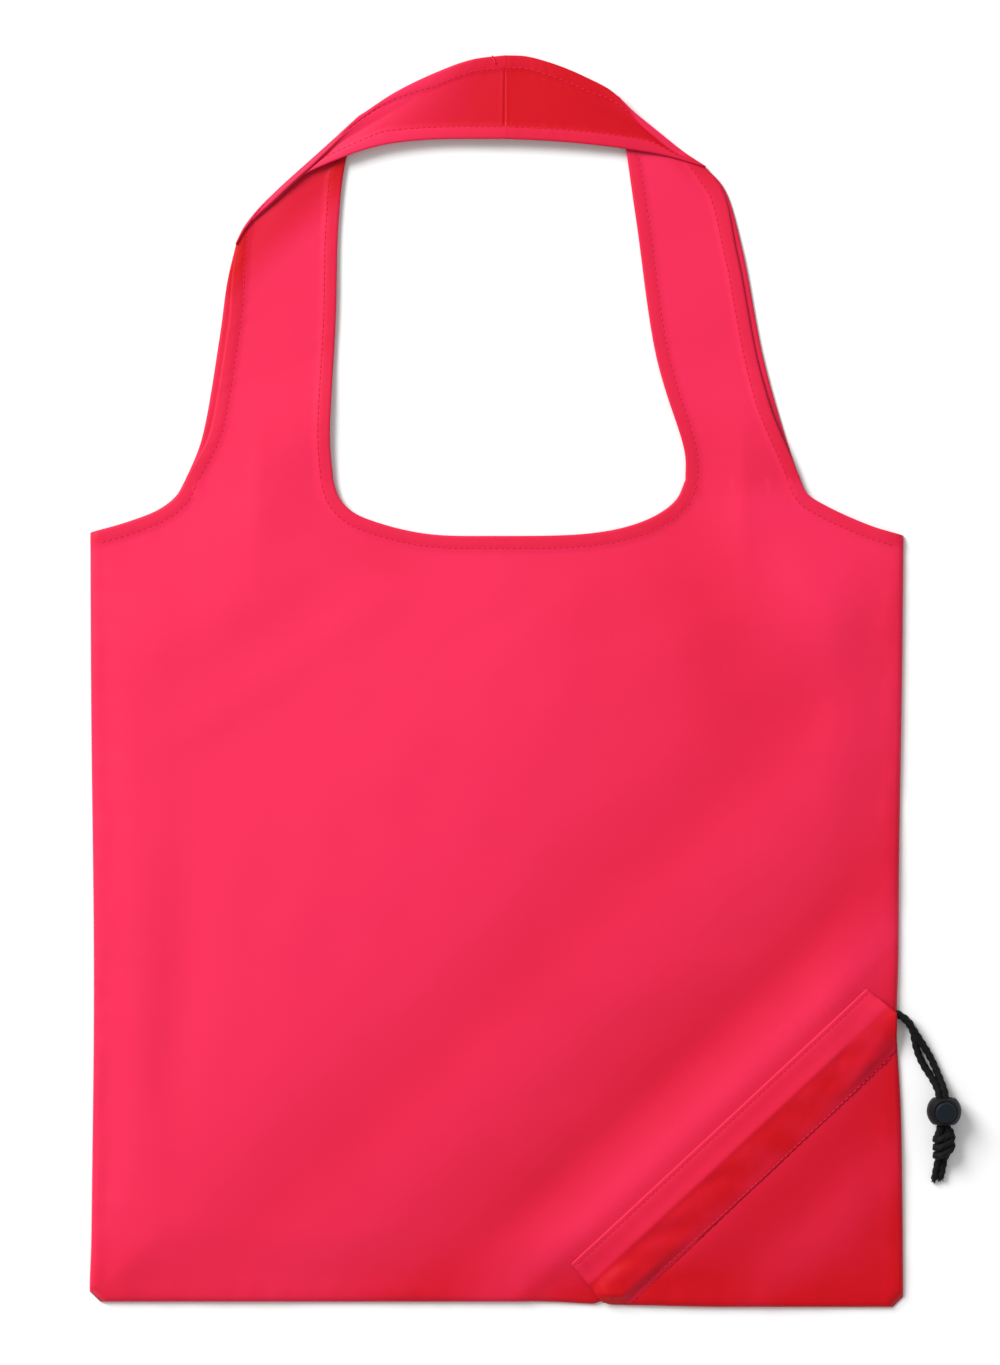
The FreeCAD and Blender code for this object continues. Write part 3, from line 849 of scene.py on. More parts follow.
def fibre(start, direction, length, width, draw):
    """One loose fibre of a frayed end, thin and slightly curled."""
    direction = Vector(direction).normalized()
    bend = Vector([draw.uniform(-1, 1) for _ in range(3)]) * 0.35
    path = []
    for i in range(5):
        share = i / 4
        path.append(Vector(start) + direction * length * share + bend * length * share * share)
    path = np.array([tuple(p) for p in path])
    path[:, 2] = np.maximum(path[:, 2], width)
    points, faces = braid_surface(path, width, around=5, strands=0)
    taper = np.concatenate([np.repeat(np.linspace(1, 0.35, 5), 5), [1, 1]])[:, None]
    middle = np.vstack([np.repeat(path, 5, axis=0), path[:1], path[-1:]])
    return middle + (points - middle) * taper, faces


def make_ends():
    """The two cut ends below the knot, each frayed into loose fibres."""
    parts = []
    draw = random.Random("fray")
    for points in (END_LEFT, END_RIGHT):
        line = nurbs_line(points)[:-4]
        parts.append(braid_surface(line, CORD_D * 0.94))
        tip = line[-1]
        direction = line[-1] - line[-6]
        for _ in range(26):
            turn, reach = draw.uniform(0, 2 * math.pi), draw.uniform(0.1, 1.25)
            place = tip + np.array([reach * math.cos(turn), 0.0, reach * math.sin(turn)])
            place[2] = max(place[2], 0.3)
            lean = np.array([draw.uniform(-0.45, 0.45), 0, draw.uniform(-0.3, 0.2)])
            spread = direction / np.linalg.norm(direction) + lean
            parts.append(fibre(place, spread, draw.uniform(0.9, 2.3), draw.uniform(0.3, 0.5), draw))
    ends = make_mesh("cord_ends", *join(parts), "cord")
    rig.ride(ends, "cord_tail")
    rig.replaces(ends, "drawcord_ends")
    return ends


def make_hidden_cord():
    """The cord inside the casings: down the front one, over the bottom seam and back up the other."""
    def place(u, n, z):
        return (*(CASING_ORIGIN + CASING_U * u + CASING_N * n), z)
    down = [place(u, n, HIDDEN_FRONT_Z) for u, n in HIDDEN]
    up = [place(u, n, HIDDEN_BACK_Z) for u, n in HIDDEN[::-1]]
    turn = [place(*HIDDEN_TURN, HIDDEN_FRONT_Z - 0.6), place(*HIDDEN_TURN, HIDDEN_BACK_Z)]
    before = (193.8, -163.2)
    route = [TAIL_A[0], (*before, 5.3), *down, *turn, *up, (*before, 2.0), TAIL_B[0]]
    line = nurbs_line(route, HIDDEN_STEP)
    count = np.arange(len(line))
    from_end = np.minimum(count, count[::-1]) * HIDDEN_STEP
    press = 1 - (1 - HIDDEN_PRESS) * ease((from_end - 4.0) / 10.0)[:, None]
    surface = braid_surface(line, CORD_D, around=12, press=press)
    cord = make_mesh("hidden_cord", *surface, "cord")
    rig.ride(cord, "bag")
    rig.replaces(cord, "drawcord_hidden_loop")


# The cord lock's spring

LOCK_PLACE = (219.4, -211.5)
SPRING_LOW, SPRING_HIGH = 1.45, 4.35        # middle of its wire at the foot and at the top
SPRING_COIL, SPRING_WIRE, SPRING_TURNS = 3.4, 0.4, 3


def make_spring():
    """The spring under the button, which flattens as the button is pressed."""
    turn = np.linspace(0.0, SPRING_TURNS, SPRING_TURNS * 24 + 1)
    angle = 2 * math.pi * turn
    x, y = LOCK_PLACE[0] + SPRING_COIL * np.cos(angle), LOCK_PLACE[1] + SPRING_COIL * np.sin(angle)
    path = np.column_stack([x, y, SPRING_LOW + (SPRING_HIGH - SPRING_LOW) * turn / SPRING_TURNS])
    surface = braid_surface(path, SPRING_WIRE, around=8, strands=0)
    spring = make_mesh("lock_spring", *surface, "spring_steel")
    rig.ride(spring, "cord_lock")
    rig.replaces(spring, "cord_lock_spring")
    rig.squash(
        spring, "button_press", axis=(0, 0, 1), anchor=(LOCK_PLACE[0] * MM, LOCK_PLACE[1] * MM, 0.00125),
        keep=0.27,
    )
    return spring


knot = make_knot()
ends = make_ends()
lock_pieces = [frame["nodes"][n] for n in ("cord_lock_body", "cord_lock_button")]
make_tail("tail_a", TAIL_A, [knot, ends, make_spring(), *lock_pieces])
make_tail("tail_b", TAIL_B, [])
make_hidden_cord()


# Body sheets

SIDE_COLUMNS = (0.0, 0.4, 1.2, 3.0, 5.5, 8.0, 11.0)
NEAR_COLUMNS = (9.5, 12.0)
GRID_FROM = 13.5            # distance from the outline at which the even grid begins
CORNER = 5.0                # blunted lower corners
OPEN_EDGES = [smooth_line(line) for line in (LEFT_ARMHOLE, NECKLINE, RIGHT_ARMHOLE)]


def side_distance(x, y):
    """Distance to the side and bottom seams, with the lower corners blunted."""
    straight = np.minimum(np.minimum(x + HALF_W, HALF_W - x), y + HALF_H)
    corner = (HALF_W - np.abs(x) + y + HALF_H - CORNER) / math.sqrt(2)
    return np.maximum(np.minimum(straight, corner), 0.0)


def open_distance(x, y):
    """Distance to the armholes and the neckline."""
    points = np.column_stack([x, y])
    return np.min([distance_to(line, points) for line in OPEN_EDGES], axis=0)


def casing_place(x, y):
    """(u, n) of a point: along the casing's upper edge and across it."""
    dx, dy = x - CASING_ORIGIN[0], y - CASING_ORIGIN[1]
    return dx * CASING_U[0] + dy * CASING_U[1], dx * CASING_N[0] + dy * CASING_N[1]


# Height of the front across the casing, over the level front: (n, height)
HILL = smooth_line([
    (-260, 0), (-185, 0.8), (-150, 0.9), (-118, -0.3), (-98, 0.3), (-78, 0.2), (-50, -2.2), (-34, -3.0),
    (-20, -1.2), (-8, 0.6), (0, 0.8), (8, 1.0), (14, 1.2), (20, 1.1), (27, 0.8), (33, 0.35), (45, -0.4),
    (60, -1.4), (75, -1.2), (95, -2.0), (130, -2.4),
], 1.0)
# Depth of colour across the casing: painted shade where the cloth lies in a trough and in the groove by the upper edge,
# painted light on the ridges, and deeper where more cloth is stacked: (n, depth)
BODY_DEPTH_AND_SHADE = smooth_line([
    (-360, 0.0), (-210, 0.02), (-165, 0.10), (-118, 0.32), (-90, 0.24), (-62, 0.38), (-36, 0.58),
    (-24, 0.42), (-13, 0.17), (-6, 0.19), (-3.4, 0.36), (0, 0.34), (6, 0.45), (34, 0.72), (44, 0.82),
    (56, 0.78), (74, 0.60), (92, 0.80), (130, 0.78), (180, 0.7),
], 1.0)
FRONT_LEVEL = 5.8           # height of the front's middle
# Broad folds of the front: centre, direction in degrees, half length, half width, height, depth of colour (painted
# shade where above 0, painted light where below 0)
FOLDS = [
    (-52, 58, -28, 34, 14, -1.4, 0.10),
    (-98, 96, 62, 70, 24, 1.6, -0.05),
    (160, 40, -70, 70, 22, 1.8, -0.14),
    (105, 38, -75, 75, 22, -1.2, 0.17),
    (75, 40, 0, 70, 55, 0.0, 0.17),
    (-60, -60, 30, 160, 55, 1.2, -0.03),
    (-160, -160, 88, 90, 16, -1.6, 0.08),
    (-186, -90, 90, 120, 12, 1.2, -0.10),
    (60, 0, 78, 120, 30, -0.9, 0.05),
    (60, -300, 0, 130, 14, -0.6, 0.30),
    (-190, -300, 40, 24, 16, -0.4, 0.20),
    (190, -240, 90, 60, 10, -0.4, 0.10),
    (140, -90, 60, 60, 40, 0.0, -0.10),
]


def across_casing(profile, n):
    return np.interp(n, profile[:, 0], profile[:, 1])


def folds(x, y):
    """Height that the broad folds add, and their depth of colour: painted shade and painted light."""
    total = np.zeros((2, *np.broadcast(x, y).shape))
    for cx, cy, angle, half_length, half_width, *amounts in FOLDS:
        c, s = math.cos(math.radians(angle)), math.sin(math.radians(angle))
        along = (x - cx) * c + (y - cy) * s
        across = (y - cy) * c - (x - cx) * s
        total += np.multiply.outer(amounts, bump(along, half_length) * bump(across, half_width))
    return total


SETTLE_STEP = 7.0           # spacing of the cloth that is let settle
SETTLE_FRAMES = 30
SETTLE_MOST = 0.8           # most that settling may move a point, in height
SETTLE_HELD = (16.0, 22.0)  # the strip held at the casing: its middle and half width, in n
SETTLE_FADE = 40.0          # distance over which settling comes in, from what holds the cloth
SETTLE_GROUND = 1.6         # height of the back of the bag
SETTLE_GAP = 0.0004         # gap between cloth and ground, metres
FABRIC = {
    "quality": 6, "mass": 0.0006, "tension_stiffness": 12.0, "compression_stiffness": 12.0,
    "shear_stiffness": 4.0, "bending_stiffness": 0.02, "air_damping": 1.0, "vertex_group_mass": "held",
    "shrink_min": -0.006, "shrink_max": -0.006,
}
settling = None             # x, y and height change of the settled front, once it has run


def settled(x, y):
    """Change of the front's height from settling, at each point."""
    if settling is None:
        return 0.0
    xs, ys, change = settling
    i = np.clip((x - xs[0]) / SETTLE_STEP, 0, len(xs) - 1.001)
    j = np.clip((y - ys[0]) / SETTLE_STEP, 0, len(ys) - 1.001)
    i0, j0 = i.astype(int), j.astype(int)
    si, sj = i - i0, j - j0
    low = change[j0, i0] * (1 - si) + change[j0, i0 + 1] * si
    high = change[j0 + 1, i0] * (1 - si) + change[j0 + 1, i0 + 1] * si
    return low * (1 - sj) + high * sj


def settle_front():
    """Lets slack cloth, held at the seams, the casing and the mouth, come to rest over the back."""
    xs = np.arange(-HALF_W, HALF_W + SETTLE_STEP, SETTLE_STEP)
    ys = np.arange(-HALF_H, ROOT_Y + SETTLE_STEP, SETTLE_STEP)
    x, y = (a.ravel() for a in np.meshgrid(xs, ys))
    start = front_height(x, y)
    faces = grid_faces(len(ys), len(xs))
    cloth = make_mesh("settling_cloth", np.column_stack([x, y, start]), faces, "cloth")
    _, n = casing_place(x, y)
    mouth = np.minimum(side_distance(x, y), open_distance(x, y))
    strip = np.abs(n - SETTLE_HELD[0]) - SETTLE_HELD[1]
    group = cloth.vertex_groups.new(name="held")
    group.add([int(k) for k in np.flatnonzero((mouth < SETTLE_STEP) | (strip < 0))], 1.0, "ADD")
    reach = HALF_W * 2
    corners = [(reach * i, reach * j, SETTLE_GROUND) for i, j in ((-1, -1), (1, -1), (1, 1), (-1, 1))]
    ground = make_mesh("settling_ground", corners, [(0, 1, 2, 3)], "cloth")
    ground.modifiers.new("ground", "COLLISION")
    ground.collision.thickness_outer = SETTLE_GAP
    modifier = cloth.modifiers.new("settle", "CLOTH")
    for key, value in FABRIC.items():
        setattr(modifier.settings, key, value)
    modifier.collision_settings.distance_min = SETTLE_GAP
    modifier.point_cache.frame_start, modifier.point_cache.frame_end = 1, SETTLE_FRAMES
    for step in range(1, SETTLE_FRAMES + 1):
        bpy.context.scene.frame_set(step)
    bake_modifiers(cloth)
    rest = np.array([v.co.z for v in cloth.data.vertices]) / MM
    for obj in (cloth, ground):
        bpy.data.objects.remove(obj)
    bpy.context.scene.frame_set(1)
    change = SETTLE_MOST * np.tanh(0.6 * (rest - start) / SETTLE_MOST)
    change = change * ease((np.minimum(mouth, strip) - SETTLE_STEP) / SETTLE_FADE)
    change = change.reshape(len(ys), len(xs))
    for _ in range(2):
        around = np.pad(change, 1, mode="edge")
        sideways = 2 * change + around[1:-1, :-2] + around[1:-1, 2:]
        change = (sideways + around[:-2, 1:-1] + around[2:, 1:-1]) / 6
    return xs, ys, change


def front_height(x, y):
    """Height of the front before its hems, as if the casing weren't there."""
    side, opening = side_distance(x, y), open_distance(x, y)
    _, n = casing_place(x, y)
    level = FRONT_LEVEL + across_casing(HILL, n) + folds(x, y)[0]
    level = level + 0.45 * waves(x, y, 110.0, "soft") + 0.12 * waves(x, y, 38.0, "small")
    mouth = 2.4 + 0.3 * waves(x, y, 60.0, "mouth")
    level = mouth + (level - mouth) * ease(opening / 75.0 + 0.1)
    rise = 2.8 + 0.5 * waves(x, y, 80.0, "edge")
    edge = 0.75 + rise * np.sqrt(1 - (1 - np.minimum(side / 2.4, 1.0)) ** 2)
    puckers = 0.3 * waves(x, y, 16.0, "pucker") * np.exp(-side / 12.0) * ease(side / 2.0)
    return edge + (level - edge) * ease((side - 1.0) / 38.0) + puckers + settled(x, y)


def cord_distance(u, n):
    """Distance from the cord inside the casing, in plan."""
    line = np.array([(-2.9, 20.3), *HIDDEN, HIDDEN_TURN])
    return distance_to(line, np.column_stack([np.ravel(u), np.ravel(n)])).reshape(np.shape(u))


def body_height(layer, x, y):
    """Height of a body sheet before its hems, in millimetres."""
    if layer == "back":
        return 0.55 + 0.15 * (1 + waves(x, y, 50.0, "back"))
    u, n = casing_place(x, y)
    under = ease((n + 1) / 3.0) * ease((33.9 - n) / 1.5) * ease((u + 6) / 8.0)
    tunnel = ease((8.0 - cord_distance(u, n)) / 5.0)
    z = front_height(x, y)
    floor = 3.0 + ease((u - 2.0) / 6.0)
    return z - 0.5 * under - np.maximum(z - 0.5 - floor, 0.0) * tunnel


def drawn_in(x, y):
    """Points in plan, moved: the sides bow in, most where the drawcord leaves, and the bottom seam dips."""
    share = ease((np.abs(x) - 130) / 70)
    left = 1.7 * bump(y + 150, 110.0) - 0.6 * bump(y + 300, 14.0)
    right = 2.3 * bump(y + 120, 110.0) + 1.5 * bump(y + 172, 26.0)
    dx = np.where(x < 0, left, -right) * share * ease((72 - y) / 40)
    low = ease((-y - 240) / 67)
    dy = (1.6 * ease((60 - x) / 40) - 1.0 * ease((x - 54) / 60) + 1.6 * bump(x - 51.5, 2.4)) * low
    return x + dx, y + dy


def body_depth_and_shade(x, y):
    """Depth of colour of the body: deeper in hems and seams where cloth is stacked and past the casing, with painted
    shade and painted light from the casing profile and the broad folds.
    """
    side, opening = side_distance(x, y), open_distance(x, y)
    _, n = casing_place(x, y)
    near_strap = ease((y - 20) / 60.0)
    # painted shade in troughs and painted light on ridges, across the casing and in the broad folds, weaker near the
    # straps
    tone = across_casing(BODY_DEPTH_AND_SHADE, n) * (1 - 0.35 * near_strap) + folds(x, y)[1]
    return tone + 0.28 * ease((HEM + 0.4 - opening) / 0.8) + 0.08 * ease((9.0 - side) / 3.0)


def body_outline(halves):
    """Closed outline of a body sheet, through the roots of the handles."""
    left_foot, right_foot = (-HALF_W, -HALF_H + CORNER), (HALF_W, -HALF_H + CORNER)
    bottom = [(-HALF_W + CORNER, -HALF_H), (HALF_W - CORNER, -HALF_H)]
    left_side, right_side = [(-HALF_W, 72.5), left_foot], [right_foot, (HALF_W, 71)]
    return np.vstack([
        np.array([left_foot]),
        resample(np.array(bottom, float), 200),
        resample(np.array(right_side, float), 190),
        OPEN_EDGES[2][::-1][1:-1],
        halves["right"].rows[0][:, :2],
        OPEN_EDGES[1][1:-1],
        halves["left"].rows[0][::-1, :2],
        OPEN_EDGES[0][::-1][1:-1],
        resample(np.array(left_side), 190)[:-1],
    ])


def rings(outline, distances, skip):
    """Points at set distances inside the outline, without its skipped points and clear of the rest of it."""
    tangent = np.roll(outline, -1, axis=0) - np.roll(outline, 1, axis=0)
    tangent /= np.linalg.norm(tangent, axis=1)[:, None]
    inward = np.column_stack([-tangent[:, 1], tangent[:, 0]])
    closed = np.vstack([outline, outline[:1]])
    found = []
    for d in distances:
        points = (outline + inward * d)[~skip]
        found.append(points[distance_to(closed, points) > d * 0.985 - 0.02])
    return np.vstack(found)


def body_points(halves):
    """Outline of a body sheet and the points inside it: close at hems and seams, an even grid beyond."""
    outline = body_outline(halves)
    closed = np.vstack([outline, outline[:1]])
    side = side_distance(outline[:, 0], outline[:, 1])
    inner = [
        rings(outline, SIDE_COLUMNS[1:], side > 0.5),
        rings(outline, HEM_COLUMNS[1:], (side < 0.5) | (outline[:, 1] > ROOT_Y - 0.1)),
        rings(outline, NEAR_COLUMNS, np.zeros(len(outline), bool)),
    ]
    gx, gy = np.meshgrid(np.arange(-HALF_W, HALF_W, GRID), np.arange(-HALF_H, ROOT_Y, GRID))
    grid = np.column_stack([gx.ravel(), gy.ravel()])
    clear = np.minimum(distance_to(closed, grid), side_distance(grid[:, 0], grid[:, 1]))
    return outline, np.vstack([*inner, grid[clear > GRID_FROM]])


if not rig.quick():
    settling = settle_front()


def make_sheet(layer):
    """One side of the bag with its two straps and its half of the band, all in one piece."""
    halves = {side: HalfHandle(side, layer) for side in SIDES}
    seam = (halves["left"].rows[-1] + halves["right"].rows[-1]) / 2
    for half in halves.values():
        half.rows[-1] = seam
    flat, faces = triangulate(*body_points(halves))
    x, y = flat[:, 0], flat[:, 1]
    opening = open_distance(x, y)
    z = body_height(layer, x, y) + hem_lift(opening, x + 0.6 * y, layer)
    body = np.column_stack([*drawn_in(x, y), z])
    for half in halves.values():
        for p in half.rows[0]:
            same = np.hypot(x - p[0], y - p[1]) < 1e-3
            body[same, 2] = p[2]
    points, tones = [body], [body_depth_and_shade(x, y)]
    offset = len(body)
    for half in halves.values():
        points.append(half.rows.reshape(-1, 3))
        faces += grid_faces(*half.edge.shape, offset)
        tones.append(half.layers().ravel())
        offset += half.edge.size
    sheet = make_mesh(layer + "_sheet", np.vstack(points), faces, "cloth")
    set_depth_and_shade(sheet, np.concatenate(tones))
    shape = bmesh.new()
    shape.from_mesh(sheet.data)
    bmesh.ops.remove_doubles(shape, verts=shape.verts, dist=2e-6)
    bmesh.ops.recalc_face_normals(shape, faces=shape.faces)
    shape.to_mesh(sheet.data)
    shape.free()
    return sheet, halves


# Drawcord casings: a strip sewn across the lower right corner, outside on the front and inside on the back

CASING_CREASE = 13.6        # fold between the casing's flat upper strip and the cord's tunnel
COVER_Z = 6.9               # height that the front casing keeps over the cord
CASING_END = 192.3          # its end hem, along u
# Across the casing: height over the front, and depth of colour, which holds the casing's stacked cloth and painted
# shade over the cord's tunnel
CASING_SHAPE = smooth_line([
    (0, 0.1), (1.2, 0.36), (2.1, 0.16), (3.2, 0.36), (9, 0.5), (CASING_CREASE, 0.95), (15, 0.7), (22, 0.5),
    (28, 0.4), (32.2, 0.3), (32.9, 0.2), (33.5, 0.14), (34.2, 0.02), (40, 0.0),
], 0.3)
CASING_DEPTH_AND_SHADE = smooth_line([
    (0, 0.20), (2, 0.40), (6, 0.50), (CASING_CREASE - 0.4, 0.60), (CASING_CREASE + 0.4, 0.82),
    (20, 0.95), (26, 0.96), (31, 0.80), (34, 0.70),
], 0.3)


def casing_points(spacing=1.5):
    """Flat points and faces of the casing, in the bag's frame."""
    corners = np.array(CASING_OUTLINE + CASING_OUTLINE[:1], float)
    outline = along_corners(corners, spacing)
    across = [0.6, 1.2, 1.7, 2.1, 2.6, 3.4, 5, 7, 9, 11, 12.4, 13.1, CASING_CREASE, 14.2, 15]
    across += [16.5, 18, 19.5, 21, 22.5, 24, 25.5, 27, 28.5, 30, 31.2, 32, 32.6, 33.1, 34]
    u, n = np.meshgrid(np.arange(-2.0, 206.0, spacing), across)
    grid = CASING_ORIGIN + u.ravel()[:, None] * CASING_U + n.ravel()[:, None] * CASING_N
    middle = np.mean(corners[:-1], axis=0)
    inside = distance_to(np.vstack([outline, outline[:1]]), grid) > 0.5
    for a, b in zip(corners, corners[1:]):
        normal = np.array([-(b - a)[1], (b - a)[0]])
        inside &= ((grid - a) @ normal) * ((middle - a) @ normal) > 0
    return triangulate(outline, grid[inside])


def casing_height(x, y):
    """Height of the front casing."""
    u, n = casing_place(x, y)
    level = front_height(x, y) + across_casing(CASING_SHAPE, n)
    tunnel = ease((16.0 - cord_distance(u, n)) / 12.0) * ease((33.2 - n) / 5.0)
    ends = ease((y + HALF_H - 1.5) / 4.5)
    level = level + np.maximum(COVER_Z - level, 0.0) * tunnel * ends
    gathers = 0.42 * waves(u + 0.5 * n, n * 0.35, 17.0, "gathers")
    gathers = gathers + 0.12 * waves(u - 0.8 * n, n, 9.0, "fine")
    level = level + (gathers + 0.3) * ease((n - CASING_CREASE) / 6.0) * ease((33.0 - n) / 9.0) * ends
    pull = 0.12 * waves(u, n * 0.2, 7.0, "upper row") * bump(n - 3.0, 4.0)
    pull += 0.16 * waves(u, n * 0.2, 8.0, "lower row") * bump(n - 30.5, 3.5)
    end_hem = 0.45 * ease((u - CASING_END - 0.06 * n) / 0.9) - 0.2 * bump(u - CASING_END - 0.06 * n, 0.8)
    return level + pull + end_hem * ends


def make_casings():
    """The front casing, over the front, and the back one, over the back inside the bag."""
    flat, faces = casing_points()
    x, y = flat[:, 0], flat[:, 1]
    u, n = casing_place(x, y)
    under = 1.25 + 2.4 * ease((8.0 - cord_distance(u, n)) / 5.0)
    mottle = 0.10 * waves(u, n, 20.0, "mottle") * ease((n - CASING_CREASE) / 4.0)
    casings = []
    for side, z in (("front", casing_height(x, y)), ("back", under)):
        casing = make_mesh(side + "_casing", np.column_stack([x, y, z]), faces, "cloth")
        # depth of colour: stacked cloth with painted shade over the cord's tunnel, a random mottle past the crease, and
        # deeper further along the casing
        set_depth_and_shade(casing, across_casing(CASING_DEPTH_AND_SHADE, n) + mottle + 0.1 * ease((u - 20) / 60.0) - 0.1)
        thicken(casing, 0.3)
        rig.ride(casing, "bag")
        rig.replaces(casing, side + "_channel")
        casings.append(casing)
    return casings


# Stitches

STITCH = 2.3                # length of a stitch
STITCH_GAP = 0.55
LOOSE_D = 0.7               # thickness of a loose end of thread
THREAD_D = 0.42
# One stitch along its length: place, width and rise
STITCH_SHAPE = np.array([
    (-1.0, 0.55, -0.22), (-0.7, 1.0, 0.05), (0.0, 1.08, 0.1), (0.7, 1.0, 0.05), (1.0, 0.55, -0.22),
])


def stitch_parts(line):
    """Rows of thread stitches along a line of points on the cloth."""
    count = int(line_length(line) // (STITCH + STITCH_GAP))
    fine = resample(line, count * 4 + 1)
    angle = np.arange(6) * math.pi / 3
    for i in range(count):
        centre = fine[4 * i + 2]
        along = fine[4 * i + 4] - fine[4 * i]
        along /= max(np.linalg.norm(along), 1e-6)
        side = np.cross(along, (0.0, 0.0, 1.0))
        side /= max(np.linalg.norm(side), 1e-6)
        up = np.cross(side, along)
        points = []
        for where, width, rise in STITCH_SHAPE:
            middle = centre + along * (where * STITCH / 2) + up * rise
            ring = np.cos(angle)[:, None] * side + np.sin(angle)[:, None] * up * 0.8
            points.append(middle + ring * (width * THREAD_D / 2))
        faces = []
        for k in range(0, 24, 6):
            for j in range(6):
                beside = k + (j + 1) % 6
                faces.append((k + j, beside, beside + 6, k + j + 6))
        faces += [tuple(range(5, -1, -1)), tuple(range(24, 30))]
        yield np.vstack(points), faces


def inset_line(line, distance, side):
    """A line moved sideways, to its left for side +1."""
    tangent = directions(line)
    return line + np.column_stack([-tangent[:, 1], tangent[:, 0]]) * distance * side


def hem_rows(layer, halves):
    """Lines of stitching along a sheet's hems, on its upper face."""
    lift = CLOTH / 2 + 0.03
    for line, side in zip(OPEN_EDGES, (-1, 1, -1)):
        row = inset_line(line, HEM, side)
        row = row[(side_distance(row[:, 0], row[:, 1]) > 4.0) & (row[:, 1] < ROOT_Y + 0.5)]
        x, y = row[:, 0], row[:, 1]
        z = body_height(layer, x, y) + hem_lift(open_distance(x, y), x + 0.6 * y, layer)
        yield np.column_stack([x, y, z + lift])
    column = HEM_COLUMNS.index(HEM)
    for half in halves.values():
        strap_end = STRAP_ROWS - 2
        band_start = STRAP_ROWS + FOLD_ROWS + 1
        for c in (column, half.edge.shape[1] - 1 - column):
            yield half.rows[:strap_end, c] + (0, 0, lift)
            yield half.rows[band_start:-2, c] + (0, 0, lift)


def casing_rows():
    """Stitching along the front casing's two long edges."""
    for n, low, high in ((2.1, 1.0, 197.0), (33.0, 14.0, 190.0)):
        u = np.arange(low, high, 1.5)
        plan = CASING_ORIGIN + u[:, None] * CASING_U + n * CASING_N
        x, y = plan[:, 0], plan[:, 1]
        inside = side_distance(x, y) > 1.5
        yield np.column_stack([x, y, casing_height(x, y) + 0.2])[inside]


SEAM_COLUMNS = (0.6, 1.5, 4.0, 6.5, 8.0)        # across the turned-in allowances, from the edge
SEAM_ENDS = (66.0, 64.0)    # in y, where the left and right seams end
SEAM_Z = 1.35
SEAM_DEPTH = 0.6            # of colour
SEAM_ROW, SEAM_ROW_Z = 4.0, 1.75        # their stitching: distance from the edge, and height
SEAM_ROW_ENDS = (62.0, 60.0)
SEAM_GAP = 3.2              # half width of the gaps that let the cord through


def seam_ring(inset, ends):
    """Points along the left, bottom and right seams, that far inside the edge, between those ends in y."""
    x, y = HALF_W - inset, -HALF_H + inset
    line = [(-x, ends[0]), (-x, y + CORNER), (-x + CORNER, y), (x - CORNER, y), (x, y + CORNER), (x, ends[1])]
    ring = np.vstack([along_corners(line, 3.0), line[-1:]])
    return np.column_stack(drawn_in(ring[:, 0], ring[:, 1]))


def make_seams():
    """The allowances of the side and bottom seams, turned in between the two sheets."""
    rows = [seam_ring(inset, SEAM_ENDS) for inset in SEAM_COLUMNS]
    count = min(len(row) for row in rows)
    points = np.vstack([resample(row, count) for row in rows])
    z = SEAM_Z + 0.12 * waves(points[:, 0], points[:, 1], 14.0, "allowance")
    faces = []
    for i in range(len(rows) - 1):
        for j in range(count - 1):
            a, b = i * count + j, (i + 1) * count + j
            faces.append((a, b, b + 1, a + 1))
    gap = cord_distance(*casing_place(*points.T)) < SEAM_GAP
    faces = [face for face in faces if not gap[list(face)].any()]
    seams = make_mesh("seam_allowances", np.column_stack([points, z]), faces, "cloth")
    set_depth_and_shade(seams, np.full(len(points), SEAM_DEPTH))
    thicken(seams, 0.5)
    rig.ride(seams, "bag")
    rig.replaces(seams, "left_side_seam", "right_side_seam", "bottom_seam")
    return seams


def seam_rows():
    """Stitching of the side and bottom seams, inside the bag on the turned-in allowances."""
    ring = seam_ring(SEAM_ROW, SEAM_ROW_ENDS)
    yield np.column_stack([ring, np.full(len(ring), SEAM_ROW_Z)])


def make_stitches(name, rows, nodes, blended, loose_end=None):
    """The stitches along some rows, and the loose end of thread that stands off them."""
    parts = [part for row in rows for part in stitch_parts(row)]
    if loose_end:
        parts.append(braid_surface(resample(np.array(loose_end), 9), LOOSE_D, around=6, strands=0))
    stitches = make_mesh(name, *join(parts), "thread")
    if blended:
        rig.blend(stitches, "bag", "handles", *HANDLE_BEND)
    else:
        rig.ride(stitches, "bag")
    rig.replaces(stitches, *nodes)
    return stitches


HANDLE_BEND = ((0, ROOT_Y * MM, 0), (0, (ROOT_Y + 30) * MM, 0))
SHEET_NODES = ("panel", "handle_left", "handle_right", "handle_seam")
THREAD_NODES = {
    "back": ("back_neckline_thread", "back_armhole_thread"),
    "front": ("front_neckline_thread", "front_armhole_thread", "handle_thread"),
}
LOOSE_ENDS = {"back": [(-2.3, 306.4, 6.8), (-1.4, 304.6, 7.0), (-0.6, 302.4, 6.9)], "front": None}
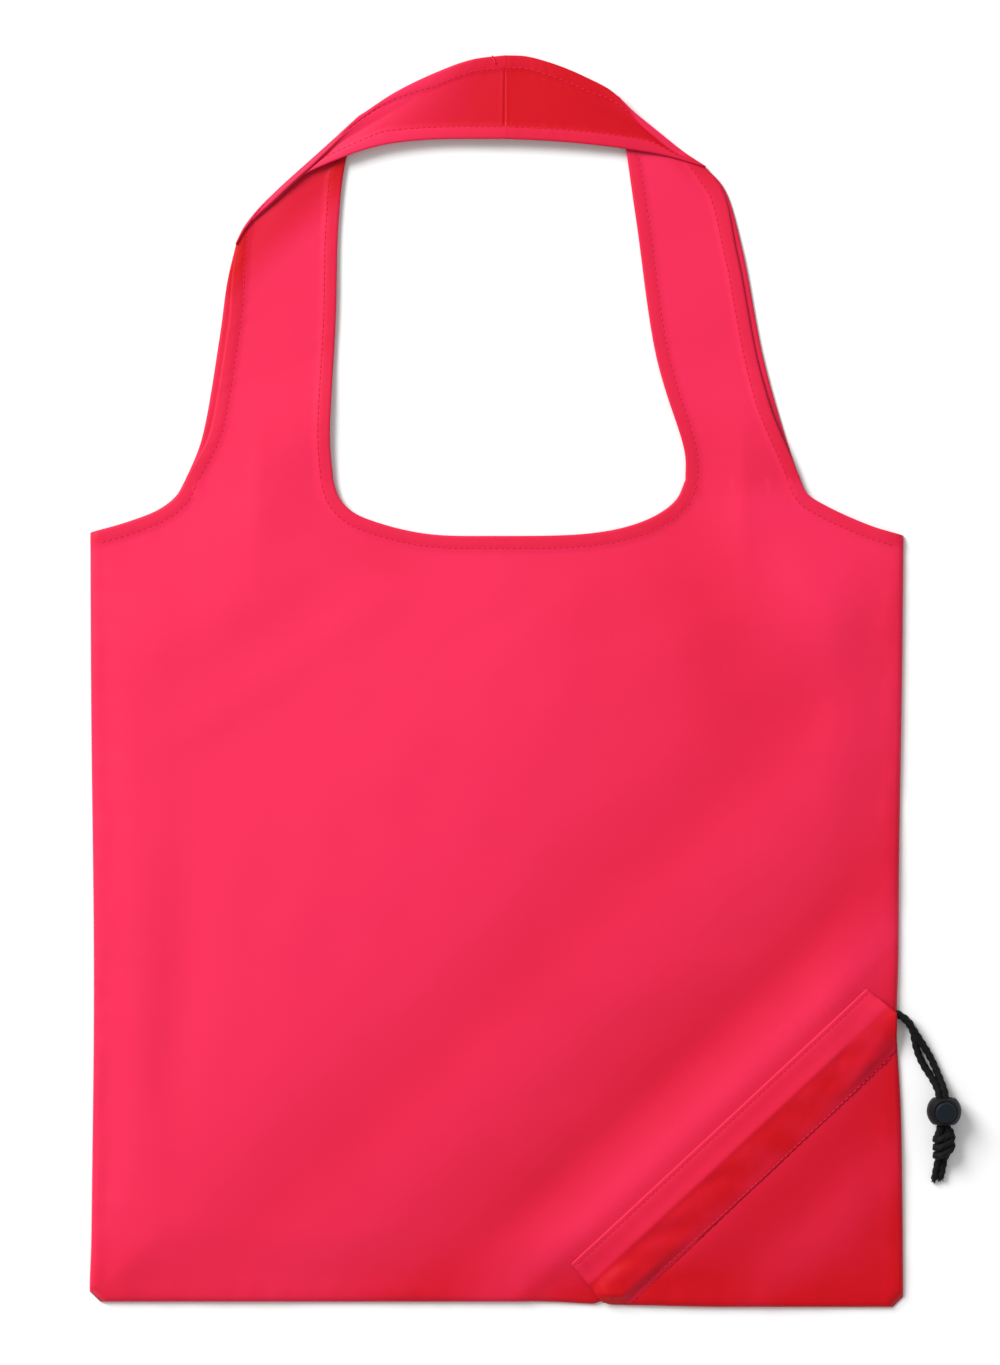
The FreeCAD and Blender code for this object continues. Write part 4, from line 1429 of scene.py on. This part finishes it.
# Flat sizes in metres, and areas in square metres, of the cut pieces
SHEET_FLAT, SHEET_AREA = (0.40, 0.67), 0.19
CASING_FLAT, CASING_AREA = (0.205, 0.034), 0.0067
RESTS = {"back": [], "front": ["back_sheet", "hidden_cord"]}
seams = make_seams()
SEAM_THREAD = ("side_seam_thread", "bottom_seam_thread")
seam_stitches = make_stitches("seam_stitches", seam_rows(), SEAM_THREAD, False)
HEMS = {"back": [seams, seam_stitches], "front": []}
for layer in ("back", "front"):
    sheet, halves = make_sheet(layer)
    thicken(sheet)
    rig.blend(sheet, "bag", "handles", *HANDLE_BEND)
    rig.replaces(sheet, *[layer + "_" + node for node in SHEET_NODES])
    stitches = make_stitches(
        layer + "_stitches", hem_rows(layer, halves), THREAD_NODES[layer], True, LOOSE_ENDS[layer])
    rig.sheet(
        sheet, flat=SHEET_FLAT, held="folded", area=SHEET_AREA, rests_on=RESTS[layer],
        with_pieces=[stitches, *HEMS[layer]],
    )
casing_stitches = make_stitches("casing_stitches", casing_rows(), ["casing_thread"], False)
for casing, pieces in zip(make_casings(), ([casing_stitches], [])):
    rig.sheet(
        casing, flat=CASING_FLAT, held="laid", area=CASING_AREA, rests_on=["hidden_cord"], with_pieces=pieces,
    )
for part in ("lock_body", "lock_button"):
    looks = frame["nodes"]["cord_" + part].data.materials
    looks.clear()
    looks.append(MATERIALS[part])


# Floor and light

def make_stage():
    mesh = bpy.data.meshes.new("floor")
    mesh.from_pydata([(-4, -4, 0), (4, -4, 0), (4, 4, 0), (-4, 4, 0)], [], [(0, 1, 2, 3)])
    floor = bpy.data.objects.new("floor", mesh)
    bpy.context.scene.collection.objects.link(floor)
    mesh.materials.append(new_material("floor", (0.95, 0.95, 0.95), 0.9, Specular_IOR_Level=0.0)[0])
    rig.stage(floor)


def make_light(name, place, target, size, power):
    data = bpy.data.lights.new(name, "AREA")
    data.shape = "RECTANGLE"
    data.size, data.size_y = size
    data.energy = power
    light = bpy.data.objects.new(name, data)
    light.location = place
    light.rotation_euler = (Vector(target) - Vector(place)).to_track_quat("-Z", "Y").to_euler()
    bpy.context.scene.collection.objects.link(light)


make_stage()
make_light("key", (-2.8, 2.5, 2.9), (0, 0, 0), (2.5, 2.5), 272)
world = bpy.data.worlds.new("world")
world.use_nodes = True
background = world.node_tree.nodes["Background"]
background.inputs["Color"].default_value = (1, 1, 1, 1)
background.inputs["Strength"].default_value = 0.50
bpy.context.scene.world = world
bpy.context.scene.view_settings.view_transform = "Standard"

with open("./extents.json", "w") as file:
    json.dump({"cad": [list(c) for c in cad_box], "visual": [list(c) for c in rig.bounds()]}, file)
